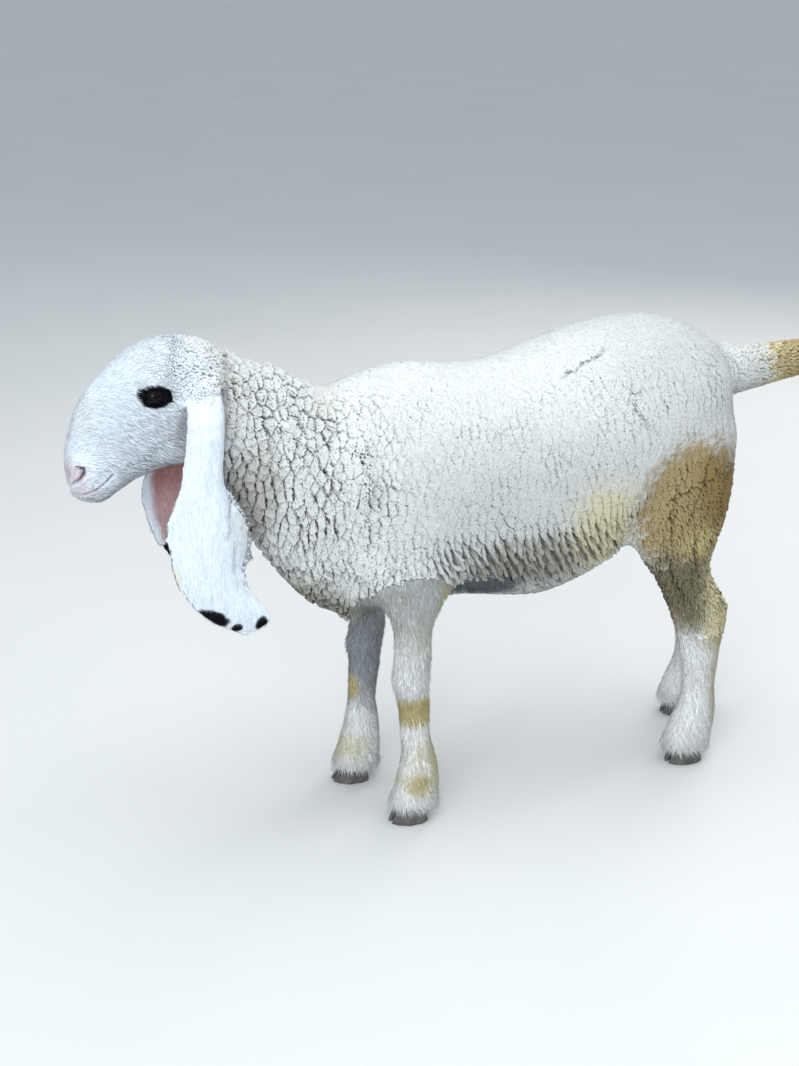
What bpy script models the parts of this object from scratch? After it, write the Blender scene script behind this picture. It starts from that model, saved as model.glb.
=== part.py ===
"""A shorn Kajli sheep standing on all four feet, life size, as a still museum model.

The sheep faces -X, its left side faces -Y and it stands on z = 0. Everything is in metres. Flesh is lofted
from slices, fused into one closed body, and parted with flat cuts into head, neck, trunk, tail and legs.
Run it with: blender --background --python part.py
"""

import math
from dataclasses import astuple, dataclass, replace

import bmesh
import bpy
from mathutils import Matrix, Vector

LEFT, RIGHT = -1, 1

# The gap between two pieces that touch.
GAP = 0.0004

# How the flesh is fused: the voxel, the smoothing passes over all of it and over the trunk, and where the
# trunk's smoothing begins and how high it takes to come in fully.
VOXEL = 0.0045
SMOOTH_PASSES = 6
TRUNK_SMOOTH_PASSES = 24
SOFT_ABOVE = 0.36
SOFT_OVER = 0.06

# How many triangles the flesh keeps, and how much finer the head stays than the rest.
BODY_TRIANGLES = 4800
HEAD_WEIGHT = 0.5
WEIGHT_STRENGTH = 0.00006

# How far behind its mate each right foot stands, and the heights between which its leg leans that far.
HIND_STEP = 0.092
HIND_LEAN = (0.58, 0.10)
FORE_STEP = -0.028
FORE_LEAN = (0.30, 0.05)

# The right ear hangs further back than the left, and flatter: its swing in degrees, about its root, and how
# much wider it spreads.
RIGHT_EAR_SWING = 8.0
RIGHT_EAR_SPREAD = 1.12
EAR_ROOT = (-0.560, 0.700)

HOOF_TOP = 0.022
CLAW_GAP = 0.005
CLAW_LENGTH = 0.060
CLAW_WIDTH = 0.0245
FOOT_Y = 0.080
FORE_FOOT_X = -0.2585
HIND_FOOT_X = 0.2320

EYE_RADIUS = 0.0135
EYE_AT = (-0.619, 0.0475, 0.698)

# Where the flesh is parted: heights for the legs, and for the rest a line through two points, as x and z.
KNEE_CUT = 0.205
HOCK_CUT = 0.232
NECK_CUT = ((-0.352, 0.671), (-0.398, 0.385))
NAPE_CUT = ((-0.512, 0.752), (-0.548, 0.583))
TAIL_CUT = 0.322
# The height of the tail cutter's underside at its front, and how far it falls by the far end.
TAIL_UNDERSIDE = (0.54, 0.10)

# Further than any point of the sheep.
FAR = 1.0

# The x of the middle of the box round the sheep, as drawn. The whole sheep is moved so that this is 0.
MIDDLE_X = -0.0757


@dataclass
class Slice:
    """One slice of a loft: a closed curve through two ends that lie in a plane of constant y.

    Args:
        start: x and z of one end, such as the back line of the trunk or the front of a leg.
        end: x and z of the other end, such as the belly line or the rear of a leg.
        half: half its width across, along y.
        y: how far its middle stands from the mid-plane.
        widest: how far from end to start its widest level lies, from 0 to 1.
        start_full: how full the half next to start is: 2 is an ellipse, more is squarer.
        end_full: how full the half next to end is.
        camber: how far its middle bows out along y, for a curved plate.
    """

    start: tuple
    end: tuple
    half: float
    y: float = 0.0
    widest: float = 0.5
    start_full: float = 2.0
    end_full: float = 2.0
    camber: float = 0.0

    def numbers(self):
        return [*self.start, *self.end, *astuple(self)[2:]]

    @staticmethod
    def of(numbers):
        x0, z0, x1, z1, *rest = numbers
        return Slice((x0, z0), (x1, z1), *rest)

    def points(self, count):
        """The slice's corners, evenly turned round it."""
        made = []
        for step in range(count):
            angle = 2 * math.pi * step / count
            across, along = math.cos(angle), math.sin(angle)
            power = 2 / (self.start_full if along > 0 else self.end_full)
            side = math.copysign(abs(across) ** power, across)
            reach = (1 - self.widest) if along > 0 else self.widest
            level = self.widest + math.copysign(abs(along) ** power * reach, along)
            bow = self.camber * (1 - (2 * level - 1) ** 2)
            made.append(
                Vector(
                    (
                        self.end[0] + level * (self.start[0] - self.end[0]),
                        self.y + self.half * side + bow,
                        self.end[1] + level * (self.start[1] - self.end[1]),
                    )
                )
            )
        return made


BODY = (
    Slice((-0.545, 0.730), (-0.565, 0.620), 0.045),
    Slice((-0.512, 0.746), (-0.552, 0.580), 0.056),
    Slice((-0.478, 0.727), (-0.514, 0.528), 0.060, start_full=1.9),
    Slice((-0.437, 0.714), (-0.476, 0.463), 0.067, start_full=1.8, end_full=1.9),
    Slice((-0.398, 0.691), (-0.438, 0.408), 0.077, start_full=1.8, end_full=2.0),
    Slice((-0.352, 0.671), (-0.392, 0.353), 0.092, start_full=1.8, end_full=2.1),
    Slice((-0.300, 0.685), (-0.331, 0.322), 0.106, start_full=1.7, end_full=2.2),
    Slice((-0.235, 0.695), (-0.245, 0.321), 0.116, start_full=1.7, end_full=2.3),
    Slice((-0.165, 0.686), (-0.165, 0.330), 0.124, widest=0.48, start_full=1.9, end_full=2.2),
    Slice((-0.095, 0.683), (-0.095, 0.320), 0.131, widest=0.46, start_full=2.0, end_full=2.2),
    Slice((-0.020, 0.700), (-0.030, 0.312), 0.136, widest=0.45, start_full=2.1, end_full=2.2),
    Slice((0.055, 0.718), (0.042, 0.327), 0.134, widest=0.46, start_full=2.2, end_full=2.1),
    Slice((0.125, 0.727), (0.107, 0.356), 0.127, widest=0.50, start_full=2.3, end_full=2.0),
    Slice((0.185, 0.725), (0.171, 0.402), 0.119, widest=0.55, start_full=2.2, end_full=2.0),
    Slice((0.238, 0.708), (0.230, 0.450), 0.107, widest=0.58, start_full=2.1, end_full=2.1),
    Slice((0.280, 0.681), (0.278, 0.490), 0.086, widest=0.55, start_full=2.0, end_full=2.1),
    Slice((0.306, 0.636), (0.303, 0.545), 0.050),
)

HEAD = (
    Slice((-0.7330, 0.603), (-0.7290, 0.562), 0.015, start_full=2.3, end_full=2.6),
    Slice((-0.7310, 0.622), (-0.7130, 0.5485), 0.0255, start_full=2.4, end_full=2.4),
    Slice((-0.7250, 0.648), (-0.6860, 0.5435), 0.0300, widest=0.52, start_full=2.2, end_full=2.0),
    Slice((-0.7110, 0.6855), (-0.6620, 0.5560), 0.0345, widest=0.52, start_full=2.0, end_full=1.9),
    Slice((-0.6850, 0.7160), (-0.6360, 0.5700), 0.0430, widest=0.54, start_full=1.9, end_full=1.8),
    Slice((-0.6500, 0.7440), (-0.6050, 0.5790), 0.0540, widest=0.58, start_full=2.1, end_full=1.7),
    Slice((-0.6110, 0.7630), (-0.5740, 0.5840), 0.0600, widest=0.58, start_full=2.2, end_full=1.8),
    Slice((-0.5700, 0.7655), (-0.5430, 0.5880), 0.0590, widest=0.55, start_full=2.1, end_full=1.9),
    Slice((-0.5280, 0.7540), (-0.5180, 0.6000), 0.0570, widest=0.52, start_full=2.0, end_full=2.0),
    Slice((-0.4900, 0.7260), (-0.4900, 0.6200), 0.0450),
)

FORELEG = (
    Slice((-0.310, 0.640), (-0.215, 0.648), 0.016, y=0.050),
    Slice((-0.338, 0.575), (-0.190, 0.590), 0.030, y=0.064),
    Slice((-0.360, 0.500), (-0.176, 0.515), 0.037, y=0.076),
    Slice((-0.348, 0.425), (-0.176, 0.435), 0.039, y=0.082, start_full=2.2),
    Slice((-0.317, 0.370), (-0.191, 0.375), 0.036, y=0.086),
    Slice((-0.290, 0.315), (-0.219, 0.318), 0.029, y=0.085),
    Slice((-0.287, 0.262), (-0.221, 0.262), 0.0275, y=0.083),
    Slice((-0.289, 0.232), (-0.223, 0.232), 0.0285, y=0.082, start_full=2.3),
    Slice((-0.278, 0.190), (-0.225, 0.190), 0.0235, y=0.081),
    Slice((-0.272, 0.140), (-0.224, 0.140), 0.0220, y=0.080),
    Slice((-0.271, 0.098), (-0.213, 0.094), 0.0260, y=0.080, start_full=2.3),
    Slice((-0.281, 0.055), (-0.209, 0.055), 0.0300, y=0.080, start_full=2.3),
    Slice((-0.288, 0.022), (-0.217, 0.022), 0.0325, y=0.080, start_full=2.4, end_full=2.3),
    Slice((-0.288, 0.004), (-0.219, 0.004), 0.0325, y=0.080, start_full=2.4, end_full=2.3),
)

HINDLEG = (
    Slice((0.120, 0.640), (0.278, 0.630), 0.034, y=0.052),
    Slice((0.092, 0.560), (0.302, 0.560), 0.050, y=0.062),
    Slice((0.080, 0.480), (0.300, 0.490), 0.053, y=0.067),
    Slice((0.090, 0.420), (0.291, 0.430), 0.047, y=0.073),
    Slice((0.130, 0.370), (0.270, 0.376), 0.039, y=0.077),
    Slice((0.165, 0.322), (0.259, 0.330), 0.0330, y=0.079),
    Slice((0.192, 0.270), (0.290, 0.272), 0.0295, y=0.080, start_full=2.2, end_full=1.8),
    Slice((0.208, 0.225), (0.294, 0.236), 0.0285, y=0.080, end_full=1.9),
    Slice((0.219, 0.175), (0.286, 0.175), 0.0250, y=0.080),
    Slice((0.224, 0.130), (0.282, 0.130), 0.0240, y=0.080),
    Slice((0.219, 0.095), (0.285, 0.088), 0.0270, y=0.080, start_full=2.3),
    Slice((0.201, 0.055), (0.281, 0.052), 0.0300, y=0.080, start_full=2.3),
    Slice((0.197, 0.022), (0.268, 0.022), 0.0325, y=0.080, start_full=2.4, end_full=2.3),
    Slice((0.197, 0.004), (0.266, 0.004), 0.0325, y=0.080, start_full=2.4, end_full=2.3),
)

TAIL = (
    Slice((0.250, 0.685), (0.262, 0.560), 0.055),
    Slice((0.315, 0.669), (0.325, 0.581), 0.042),
    Slice((0.370, 0.659), (0.372, 0.588), 0.034),
    Slice((0.430, 0.657), (0.426, 0.597), 0.030),
    Slice((0.492, 0.656), (0.482, 0.602), 0.027),
    Slice((0.548, 0.640), (0.530, 0.593), 0.023),
    Slice((0.585, 0.612), (0.562, 0.579), 0.016),
)

EAR = (
    Slice((-0.572, 0.720), (-0.528, 0.724), 0.0125, y=0.038, camber=0.000),
    Slice((-0.579, 0.692), (-0.527, 0.698), 0.0115, y=0.062, camber=0.003),
    Slice((-0.587, 0.660), (-0.530, 0.664), 0.0090, y=0.081, camber=0.010),
    Slice((-0.595, 0.620), (-0.534, 0.623), 0.0065, y=0.087, camber=0.013),
    Slice((-0.606, 0.572), (-0.536, 0.575), 0.0050, y=0.089, camber=0.014),
    Slice((-0.624, 0.530), (-0.511, 0.534), 0.0042, y=0.090, camber=0.015),
    Slice((-0.624, 0.486), (-0.500, 0.490), 0.0038, y=0.092, camber=0.015),
    Slice((-0.613, 0.440), (-0.514, 0.448), 0.0038, y=0.094, camber=0.013),
    Slice((-0.589, 0.400), (-0.504, 0.414), 0.0038, y=0.096, camber=0.011),
    Slice((-0.552, 0.370), (-0.484, 0.390), 0.0038, y=0.098, camber=0.007),
    Slice((-0.518, 0.354), (-0.478, 0.370), 0.0030, y=0.100, camber=0.002),
)

# Muscles and bony forms laid over the lofts: centre, radii, and the turn about y in degrees.
THIGH = ((0.200, 0.072, 0.510), (0.090, 0.044, 0.130), 10)
BUTTOCK = ((0.256, 0.055, 0.500), (0.038, 0.038, 0.105), -4)
JAW_MUSCLE = ((-0.580, 0.019, 0.644), (0.055, 0.030, 0.056), 25)
BROW = ((-0.612, 0.034, 0.716), (0.036, 0.0265, 0.020), 12)
NOSTRIL_WING = ((-0.7145, 0.0150, 0.601), (0.015, 0.0125, 0.018), -38)
UPPER_LIP = ((-0.702, 0.0150, 0.577), (0.021, 0.014, 0.014), -30)
CHIN = ((-0.692, 0.0, 0.5565), (0.018, 0.017, 0.010), 15)
MASSES = (
    THIGH,
    BUTTOCK,
    JAW_MUSCLE,
    BROW,
    NOSTRIL_WING,
    UPPER_LIP,
    CHIN,
)


def clear_scene():
    for old in list(bpy.data.objects):
        bpy.data.objects.remove(old)


def paint(name, colour, roughness):
    """A plain material: its colour, how rough it is, and no metal."""
    made = bpy.data.materials.new(name)
    made.use_nodes = True
    shader = made.node_tree.nodes["Principled BSDF"]
    shader.inputs["Base Color"].default_value = (*colour, 1.0)
    shader.inputs["Roughness"].default_value = roughness
    shader.inputs["Metallic"].default_value = 0.0
    made.diffuse_color = (*colour, 1.0)
    return made


def add_object(name, mesh, material=None):
    """Links a new object that shows the mesh."""
    made = bpy.data.objects.new(name, mesh)
    bpy.context.scene.collection.objects.link(made)
    if material is not None:
        mesh.materials.clear()
        mesh.materials.append(material)
    return made


def add_helper(name, mesh):
    """An object that only cuts or guides: it isn't a piece of the sheep."""
    made = add_object(name, mesh)
    made.hide_render = True
    made.display_type = "WIRE"
    return made


def mesh_from(name, shape):
    """The mesh of a bmesh, with its faces turned outwards."""
    bmesh.ops.recalc_face_normals(shape, faces=shape.faces)
    mesh = bpy.data.meshes.new(name)
    shape.to_mesh(mesh)
    shape.free()
    return mesh


def between(before, first, second, after, share):
    """A smooth value between first and second, which bends as its neighbours ask (Catmull-Rom)."""
    return 0.5 * (
        2 * first
        + (second - before) * share
        + (2 * before - 5 * first + 4 * second - after) * share**2
        + (3 * first - before - 3 * second + after) * share**3
    )


def refined(slices, steps):
    """The slices with more smooth ones between each two."""
    rows = [s.numbers() for s in slices]
    rows = [rows[0], *rows, rows[-1]]
    made = []
    for i in range(1, len(rows) - 2):
        around = list(zip(*rows[i - 1 : i + 3]))
        for step in range(steps):
            made.append(Slice.of([between(*four, step / steps) for four in around]))
    return [*made, slices[-1]]


def loft(shape, slices, steps, corners, side=RIGHT, shift=None):
    """Adds to a bmesh the closed skin through the slices, on one side of the mid-plane.

    Args:
        shape: the bmesh to add to.
        slices: the slices, in order.
        steps: how many strips there are from each slice to the next.
        corners: how many corners each slice has.
        side: LEFT or RIGHT.
        shift: how far each point moves along x at its height, or None.
    """
    rings = []
    for one in refined(slices, steps):
        ring = []
        for p in one.points(corners):
            moved = p.x + (shift(p.z) if shift else 0.0)
            ring.append(shape.verts.new((moved, p.y * side, p.z)))
        rings.append(ring)
    for ring, following in zip(rings, rings[1:]):
        for i in range(corners):
            j = (i + 1) % corners
            shape.faces.new((ring[i], ring[j], following[j], following[i]))
    shape.faces.new(rings[0][::-1])
    shape.faces.new(rings[-1])


def step_shift(step, lean):
    """How far each height of a leg is moved along x when its foot stands a step away from its mate.

    Args:
        step: how far the foot is moved.
        lean: the height above which nothing moves, and the one below which all moves by the whole step.
    """
    start, settled = lean

    def shift(z):
        share = min(max((start - z) / (start - settled), 0.0), 1.0)
        return step * share * share * (3 - 2 * share)

    return shift


def ellipsoid(shape, centre, radii, turn, side=RIGHT):
    """Adds an ellipsoid that is turned about y by turn degrees."""
    x, y, z = centre
    place = Matrix.Translation((x, y * side, z)) @ Matrix.Rotation(math.radians(turn), 4, "Y")
    place = place @ Matrix.Diagonal((*radii, 1.0))
    bmesh.ops.create_icosphere(shape, subdivisions=3, radius=1.0, matrix=place)


def flesh_lofts():
    """The mesh of all lofts and masses of the flesh, still crossing each other."""
    shape = bmesh.new()
    loft(shape, BODY, steps=6, corners=48)
    loft(shape, HEAD, steps=6, corners=40)
    loft(shape, TAIL, steps=5, corners=28)
    for side in (LEFT, RIGHT):
        fore = step_shift(FORE_STEP if side == RIGHT else 0.0, FORE_LEAN)
        hind = step_shift(HIND_STEP if side == RIGHT else 0.0, HIND_LEAN)
        loft(shape, FORELEG, steps=5, corners=28, side=side, shift=fore)
        loft(shape, HINDLEG, steps=5, corners=28, side=side, shift=hind)
        for centre, radii, turn in MASSES:
            ellipsoid(shape, centre, radii, turn, side)
    return mesh_from("lofts", shape)


def fused_body():
    """The whole of the flesh without ears, as one closed and smooth mesh with more faces on the head."""
    rough = add_helper("guide_lofts", flesh_lofts())
    remesh = rough.modifiers.new("fuse", "REMESH")
    remesh.mode = "VOXEL"
    remesh.voxel_size = VOXEL
    guide = add_helper("guide_flesh", evaluated_mesh(rough))
    coarse = guide.vertex_groups.new(name="coarse")
    soft = guide.vertex_groups.new(name="soft")
    for vertex in guide.data.vertices:
        in_head = vertex.co.x < NAPE_CUT[0][0]
        in_trunk = vertex.co.x > NECK_CUT[0][0]
        softness = min(max((vertex.co.z - SOFT_ABOVE) / SOFT_OVER, 0.0), 1.0)
        coarse.add([vertex.index], HEAD_WEIGHT if in_head else 1.0, "REPLACE")
        soft.add([vertex.index], softness if in_trunk else 0.0, "REPLACE")
    add_smooth(guide, SMOOTH_PASSES)
    add_smooth(guide, TRUNK_SMOOTH_PASSES, soft.name)
    thin = guide.modifiers.new("thin", "DECIMATE")
    thin.vertex_group = coarse.name
    thin.vertex_group_factor = WEIGHT_STRENGTH
    thin.ratio = BODY_TRIANGLES / sum(len(p.vertices) - 2 for p in guide.data.polygons)
    return evaluated_mesh(guide)


def add_smooth(obj, passes, group=""):
    """Adds a modifier that smooths the object, or only the vertices of a group."""
    smooth = obj.modifiers.new("smooth", "SMOOTH")
    smooth.factor = 0.5
    smooth.iterations = passes
    smooth.vertex_group = group


def evaluated_mesh(obj):
    """A plain mesh of the object with its modifiers applied."""
    graph = bpy.context.evaluated_depsgraph_get()
    return bpy.data.meshes.new_from_object(obj.evaluated_get(graph))


def prism(name, outline, axis, low, high):
    """A cutter: a flat outline drawn out along an axis, from low to high.

    Args:
        name: its name.
        outline: its corners, as (x, z) for axis Y or (y, z) for axis X.
        axis: "X" or "Y".
        low: where it starts along the axis.
        high: where it ends.
    """
    shape = bmesh.new()
    ends = []
    for at in (low, high):
        corners = [(at, u, v) if axis == "X" else (u, at, v) for u, v in outline]
        ends.append([shape.verts.new(c) for c in corners])
    count = len(outline)
    shape.faces.new(ends[0])
    shape.faces.new(ends[1][::-1])
    for i in range(count):
        j = (i + 1) % count
        shape.faces.new((ends[0][i], ends[1][i], ends[1][j], ends[0][j]))
    return add_helper(name, mesh_from(name, shape))


def cross_line(cut, offset):
    """The two far ends, upper and lower, of a cut across the body, moved along x by offset."""
    (x0, z0), (x1, z1) = cut
    slope = (x0 - x1) / (z0 - z1)
    return [(x0 + slope * (z - z0) + offset, z) for z in (FAR, 0.0)]


def boolean(obj, cutter, operation):
    """Adds a Boolean modifier to the object."""
    made = obj.modifiers.new(f"{operation.lower()}_{cutter.name}", "BOOLEAN")
    made.operation = operation
    made.solver = "EXACT"
    made.object = cutter


@dataclass
class LegCut:
    """Where a leg is parted from the trunk: a block whose top slopes up from the inside to the outside.

    Args:
        front: how far forward the block reaches, at its top and from its shoulder down.
        back: how far back it reaches, at its top and from its shoulder down.
        inner: the y of its inner wall.
        outer: the y at which its top reaches the heights in top_outer.
        shoulder: the height at which it begins to widen or narrow towards the top.
        top_inner: the top's height at the inner wall, at the front and at the back.
        top_outer: the top's height at outer, at the front and at the back.
        joint: the height of the cut between upper and lower leg.
    """

    front: tuple
    back: tuple
    inner: float
    outer: float
    shoulder: float
    top_inner: tuple
    top_outer: tuple
    joint: float


FORE_CUT = LegCut(
    front=(-0.368, -0.345),
    back=(-0.172, -0.196),
    inner=0.018,
    outer=0.125,
    shoulder=0.300,
    top_inner=(0.318, 0.318),
    top_outer=(0.415, 0.415),
    joint=KNEE_CUT,
)
HIND_CUT = LegCut(
    front=(0.082, 0.118),
    back=(0.400, 0.430),
    inner=0.012,
    outer=0.125,
    shoulder=0.330,
    top_inner=(0.385, 0.500),
    top_outer=(0.450, 0.580),
    joint=HOCK_CUT,
)


def leg_block(name, side, cut, bottom, grow=0.0):
    """The cutter that holds a leg from a height up to its cut, wider all round by grow."""
    slope = [(o - i) / (cut.outer - cut.inner) for i, o in zip(cut.top_inner, cut.top_outer)]
    inner, outer = cut.inner - grow, FAR / 2
    levels = (bottom, cut.shoulder)
    rings = [
        [
            (cut.front[1] - grow, inner, z),
            (cut.back[1] + grow, inner, z),
            (cut.back[1] + grow, outer, z),
            (cut.front[1] - grow, outer, z),
        ]
        for z in levels
    ]
    tops = [(inner, 0), (inner, 1), (outer, 1), (outer, 0)]
    ring = []
    for y, end in tops:
        x = (cut.front[0] - grow) if end == 0 else (cut.back[0] + grow)
        ring.append((x, y, cut.top_inner[end] + slope[end] * (y - cut.inner) + grow))
    rings.append(ring)
    shape = bmesh.new()
    made = [[shape.verts.new((x, y * side, z)) for x, y, z in ring] for ring in rings]
    for ring, following in zip(made, made[1:]):
        for i in range(4):
            j = (i + 1) % 4
            shape.faces.new((ring[i], ring[j], following[j], following[i]))
    shape.faces.new(made[0][::-1])
    shape.faces.new(made[-1])
    bmesh.ops.triangulate(shape, faces=shape.faces)
    return add_helper(name, mesh_from(name, shape))


def leg_cutters(name, side, cut):
    """The cutters of one leg: its upper part, its lower part, and both with the gap for the trunk."""
    upper = leg_block(f"cutter_{name}_upper", side, cut, cut.joint + GAP)
    below = [(0.0, HOOF_TOP), (side * FAR, HOOF_TOP), (side * FAR, cut.joint), (0.0, cut.joint)]
    lower = prism(f"cutter_{name}_lower", below, "X", cut.front[1], cut.back[1])
    whole = leg_block(f"cutter_{name}_whole", side, cut, -HOOF_TOP, grow=GAP)
    return upper, lower, whole


def behind_tail_cut(name, start):
    """The cutter that holds all of the tail behind an x, above the thighs."""
    below, fall = TAIL_UNDERSIDE
    outline = [(start, below), (FAR, below - fall), (FAR, FAR), (start, FAR)]
    return prism(name, outline, "Y", -FAR, FAR)


def part_body(body, coats):
    """Parts the fused body into its nodes with thin flat cuts."""
    trunk = add_object("trunk", body.copy(), coats["wool"])
    neck_front = cross_line(NECK_CUT, 0.0)
    nape_back = cross_line(NAPE_CUT, 0.0)
    head_box = prism(
        "cutter_head", [(-FAR, FAR), *cross_line(NAPE_CUT, -GAP), (-FAR, 0.0)], "Y", -FAR, FAR
    )
    neck_box = prism("cutter_neck", [*nape_back, *cross_line(NECK_CUT, -GAP)[::-1]], "Y", -FAR, FAR)
    front_box = prism("cutter_front", [(-FAR, FAR), *neck_front, (-FAR, 0.0)], "Y", -FAR, FAR)
    tail_box = behind_tail_cut("cutter_tail", TAIL_CUT + GAP)
    behind_box = behind_tail_cut("cutter_behind", TAIL_CUT)
    made = {"trunk": trunk}
    for name, box in (("head", head_box), ("neck", neck_box), ("tail", tail_box)):
        coat = coats["face"] if name == "head" else coats["wool"]
        made[name] = add_object(name, body.copy(), coat)
        boolean(made[name], box, "INTERSECT")
    for end, cut in (("fore", FORE_CUT), ("hind", HIND_CUT)):
        for side, word in ((LEFT, "left"), (RIGHT, "right")):
            name = f"{end}leg_{word}"
            upper, lower, whole = leg_cutters(name, side, cut)
            for part, cutter in (("upper", upper), ("lower", lower)):
                coat = coats["leg"] if part == "lower" else coats["wool"]
                piece = add_object(f"{name}_{part}", body.copy(), coat)
                boolean(piece, cutter, "INTERSECT")
                made[piece.name] = piece
            boolean(trunk, whole, "DIFFERENCE")
    boolean(trunk, front_box, "DIFFERENCE")
    boolean(trunk, behind_box, "DIFFERENCE")
    boolean(made["neck"], bpy.data.objects["cutter_foreleg_left_whole"], "DIFFERENCE")
    boolean(made["neck"], bpy.data.objects["cutter_foreleg_right_whole"], "DIFFERENCE")
    return made


def add_eyes(head, glassy):
    """Two eyeballs, each in a socket that leaves the gap round it."""
    x, y, z = EYE_AT
    for side, word in ((LEFT, "left"), (RIGHT, "right")):
        for name, radius in ((f"eye_{word}", EYE_RADIUS), (f"cutter_socket_{word}", EYE_RADIUS + GAP)):
            shape = bmesh.new()
            bmesh.ops.create_icosphere(
                shape, subdivisions=3, radius=radius, matrix=Matrix.Translation((x, y * side, z))
            )
            mesh = mesh_from(name, shape)
            if name.startswith("eye"):
                mesh.shade_smooth()
                add_object(name, mesh, glassy)
            else:
                boolean(head, add_helper(name, mesh), "DIFFERENCE")


def spread(plan, times):
    """The slice with its ends moved away from its middle, for a wider ear."""
    middle = (Vector(plan.start) + Vector(plan.end)) / 2
    ends = [tuple(middle + (Vector(end) - middle) * times) for end in (plan.start, plan.end)]
    return replace(plan, start=ends[0], end=ends[1])


def add_ears(body, coat):
    """Two long hanging ears, trimmed where they grow from the side of the head."""
    near_head = add_helper("cutter_head_skin", body.copy())
    swell = near_head.modifiers.new("swell", "DISPLACE")
    swell.strength = GAP
    swell.mid_level = 0.0
    root = Vector((EAR_ROOT[0], 0.0, EAR_ROOT[1]))
    swung = Matrix.Translation(root) @ Matrix.Rotation(math.radians(-RIGHT_EAR_SWING), 4, "Y")
    swung = swung @ Matrix.Translation(-root)
    for side, word in ((LEFT, "left"), (RIGHT, "right")):
        shape = bmesh.new()
        plan = EAR if side == LEFT else [spread(s, RIGHT_EAR_SPREAD) for s in EAR]
        loft(shape, plan, steps=2, corners=12, side=side)
        if side == RIGHT:
            shape.transform(swung)
        mesh = mesh_from(f"ear_{word}", shape)
        mesh.shade_smooth()
        ear = add_object(f"ear_{word}", mesh, coat)
        boolean(ear, near_head, "DIFFERENCE")


def claw_outline(level, side):
    """The outline of a claw at a level from 0, the sole, to 1, the coronet: a long D with a pointed toe."""
    toe = -CLAW_LENGTH * (0.55 - 0.20 * level)
    heel = CLAW_LENGTH * (0.42 - 0.03 * level)
    outer = CLAW_WIDTH * (1.0 - 0.10 * level)
    corners = (
        (toe, 0.10),
        (toe * 0.80, 0.52),
        (toe * 0.35, 0.92),
        (heel * 0.40, 1.00),
        (heel * 0.85, 0.80),
        (heel, 0.42),
        (heel * 0.92, 0.00),
        (toe * 0.90, 0.00),
    )
    return [(x, side * (CLAW_GAP / 2 + width * outer)) for x, width in corners]


def add_claws(horn):
    """Two claws to each foot, with flat soles on the ground."""
    feet = (
        ("foreleg_left", LEFT, FORE_FOOT_X, 4),
        ("foreleg_right", RIGHT, FORE_FOOT_X + FORE_STEP, -4),
        ("hindleg_left", LEFT, HIND_FOOT_X, 5),
        ("hindleg_right", RIGHT, HIND_FOOT_X + HIND_STEP, -5),
    )
    levels = (0.0, 0.5, 1.0)
    for name, side, x, turn in feet:
        place = Matrix.Translation((x, FOOT_Y * side, 0.0))
        place = place @ Matrix.Rotation(math.radians(turn), 4, "Z")
        for claw_side, word in ((side, "outer"), (-side, "inner")):
            shape = bmesh.new()
            rings = []
            for level in levels:
                height = level * (HOOF_TOP - GAP)
                outline = claw_outline(level, claw_side)
                rings.append([shape.verts.new(place @ Vector((u, v, height))) for u, v in outline])
            for ring, following in zip(rings, rings[1:]):
                for i in range(len(ring)):
                    j = (i + 1) % len(ring)
                    shape.faces.new((ring[i], ring[j], following[j], following[i]))
            shape.faces.new(rings[0][::-1])
            shape.faces.new(rings[-1])
            add_object(f"claw_{name}_{word}", mesh_from(name, shape), horn)


def main():
    clear_scene()
    coats = {
        "wool": paint("wool", (0.78, 0.77, 0.73), 0.95),
        "face": paint("face_hair", (0.84, 0.85, 0.85), 0.85),
        "leg": paint("leg_hair", (0.70, 0.64, 0.50), 0.9),
        "ear": paint("ear_hair", (0.86, 0.86, 0.86), 0.85),
    }
    glassy = paint("eyeball", (0.03, 0.025, 0.02), 0.1)
    horn = paint("hoof_horn", (0.13, 0.12, 0.11), 0.55)
    body = fused_body()
    nodes = part_body(body, coats)
    add_eyes(nodes["head"], glassy)
    add_ears(body, coats["ear"])
    add_claws(horn)
    for made in bpy.context.scene.objects:
        made.location.x -= MIDDLE_X


main()
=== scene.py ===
"""The dressed sheep: one skin, its coat of locks and hairs, its eyes and hooves, over the frame's solids.

The sheep faces -X, its left side faces -Y and it stands on z = 0. Everything is in metres. The skin lies
inside the solids by the depth of the coat. The coat grows from the skin out to the solids' outline, as closed
locks and hairs that a Geometry Nodes tree sets on its roots. Skin and coat are coloured by the same markings.
"""

import logging
import math
from collections.abc import Callable, Sequence
from dataclasses import dataclass, replace
from enum import IntEnum
from functools import reduce

import bmesh
import bpy
import numpy as np
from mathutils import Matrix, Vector, bvhtree, kdtree, noise


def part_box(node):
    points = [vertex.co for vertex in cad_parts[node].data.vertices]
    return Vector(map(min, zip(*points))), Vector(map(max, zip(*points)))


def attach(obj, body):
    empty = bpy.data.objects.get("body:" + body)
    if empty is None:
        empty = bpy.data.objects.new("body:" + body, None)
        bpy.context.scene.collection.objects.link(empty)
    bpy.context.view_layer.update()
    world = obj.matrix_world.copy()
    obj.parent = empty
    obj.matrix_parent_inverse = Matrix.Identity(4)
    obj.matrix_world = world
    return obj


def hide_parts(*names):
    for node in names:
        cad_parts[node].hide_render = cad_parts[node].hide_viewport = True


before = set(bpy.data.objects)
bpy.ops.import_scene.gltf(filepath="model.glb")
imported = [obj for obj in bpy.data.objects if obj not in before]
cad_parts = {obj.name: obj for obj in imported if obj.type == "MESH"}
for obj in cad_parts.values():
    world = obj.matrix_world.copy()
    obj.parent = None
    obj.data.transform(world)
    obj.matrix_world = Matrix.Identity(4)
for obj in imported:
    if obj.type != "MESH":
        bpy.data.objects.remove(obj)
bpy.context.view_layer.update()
REPORT = logging.getLogger("sheep")
NOISE_SEED = 7

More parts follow.
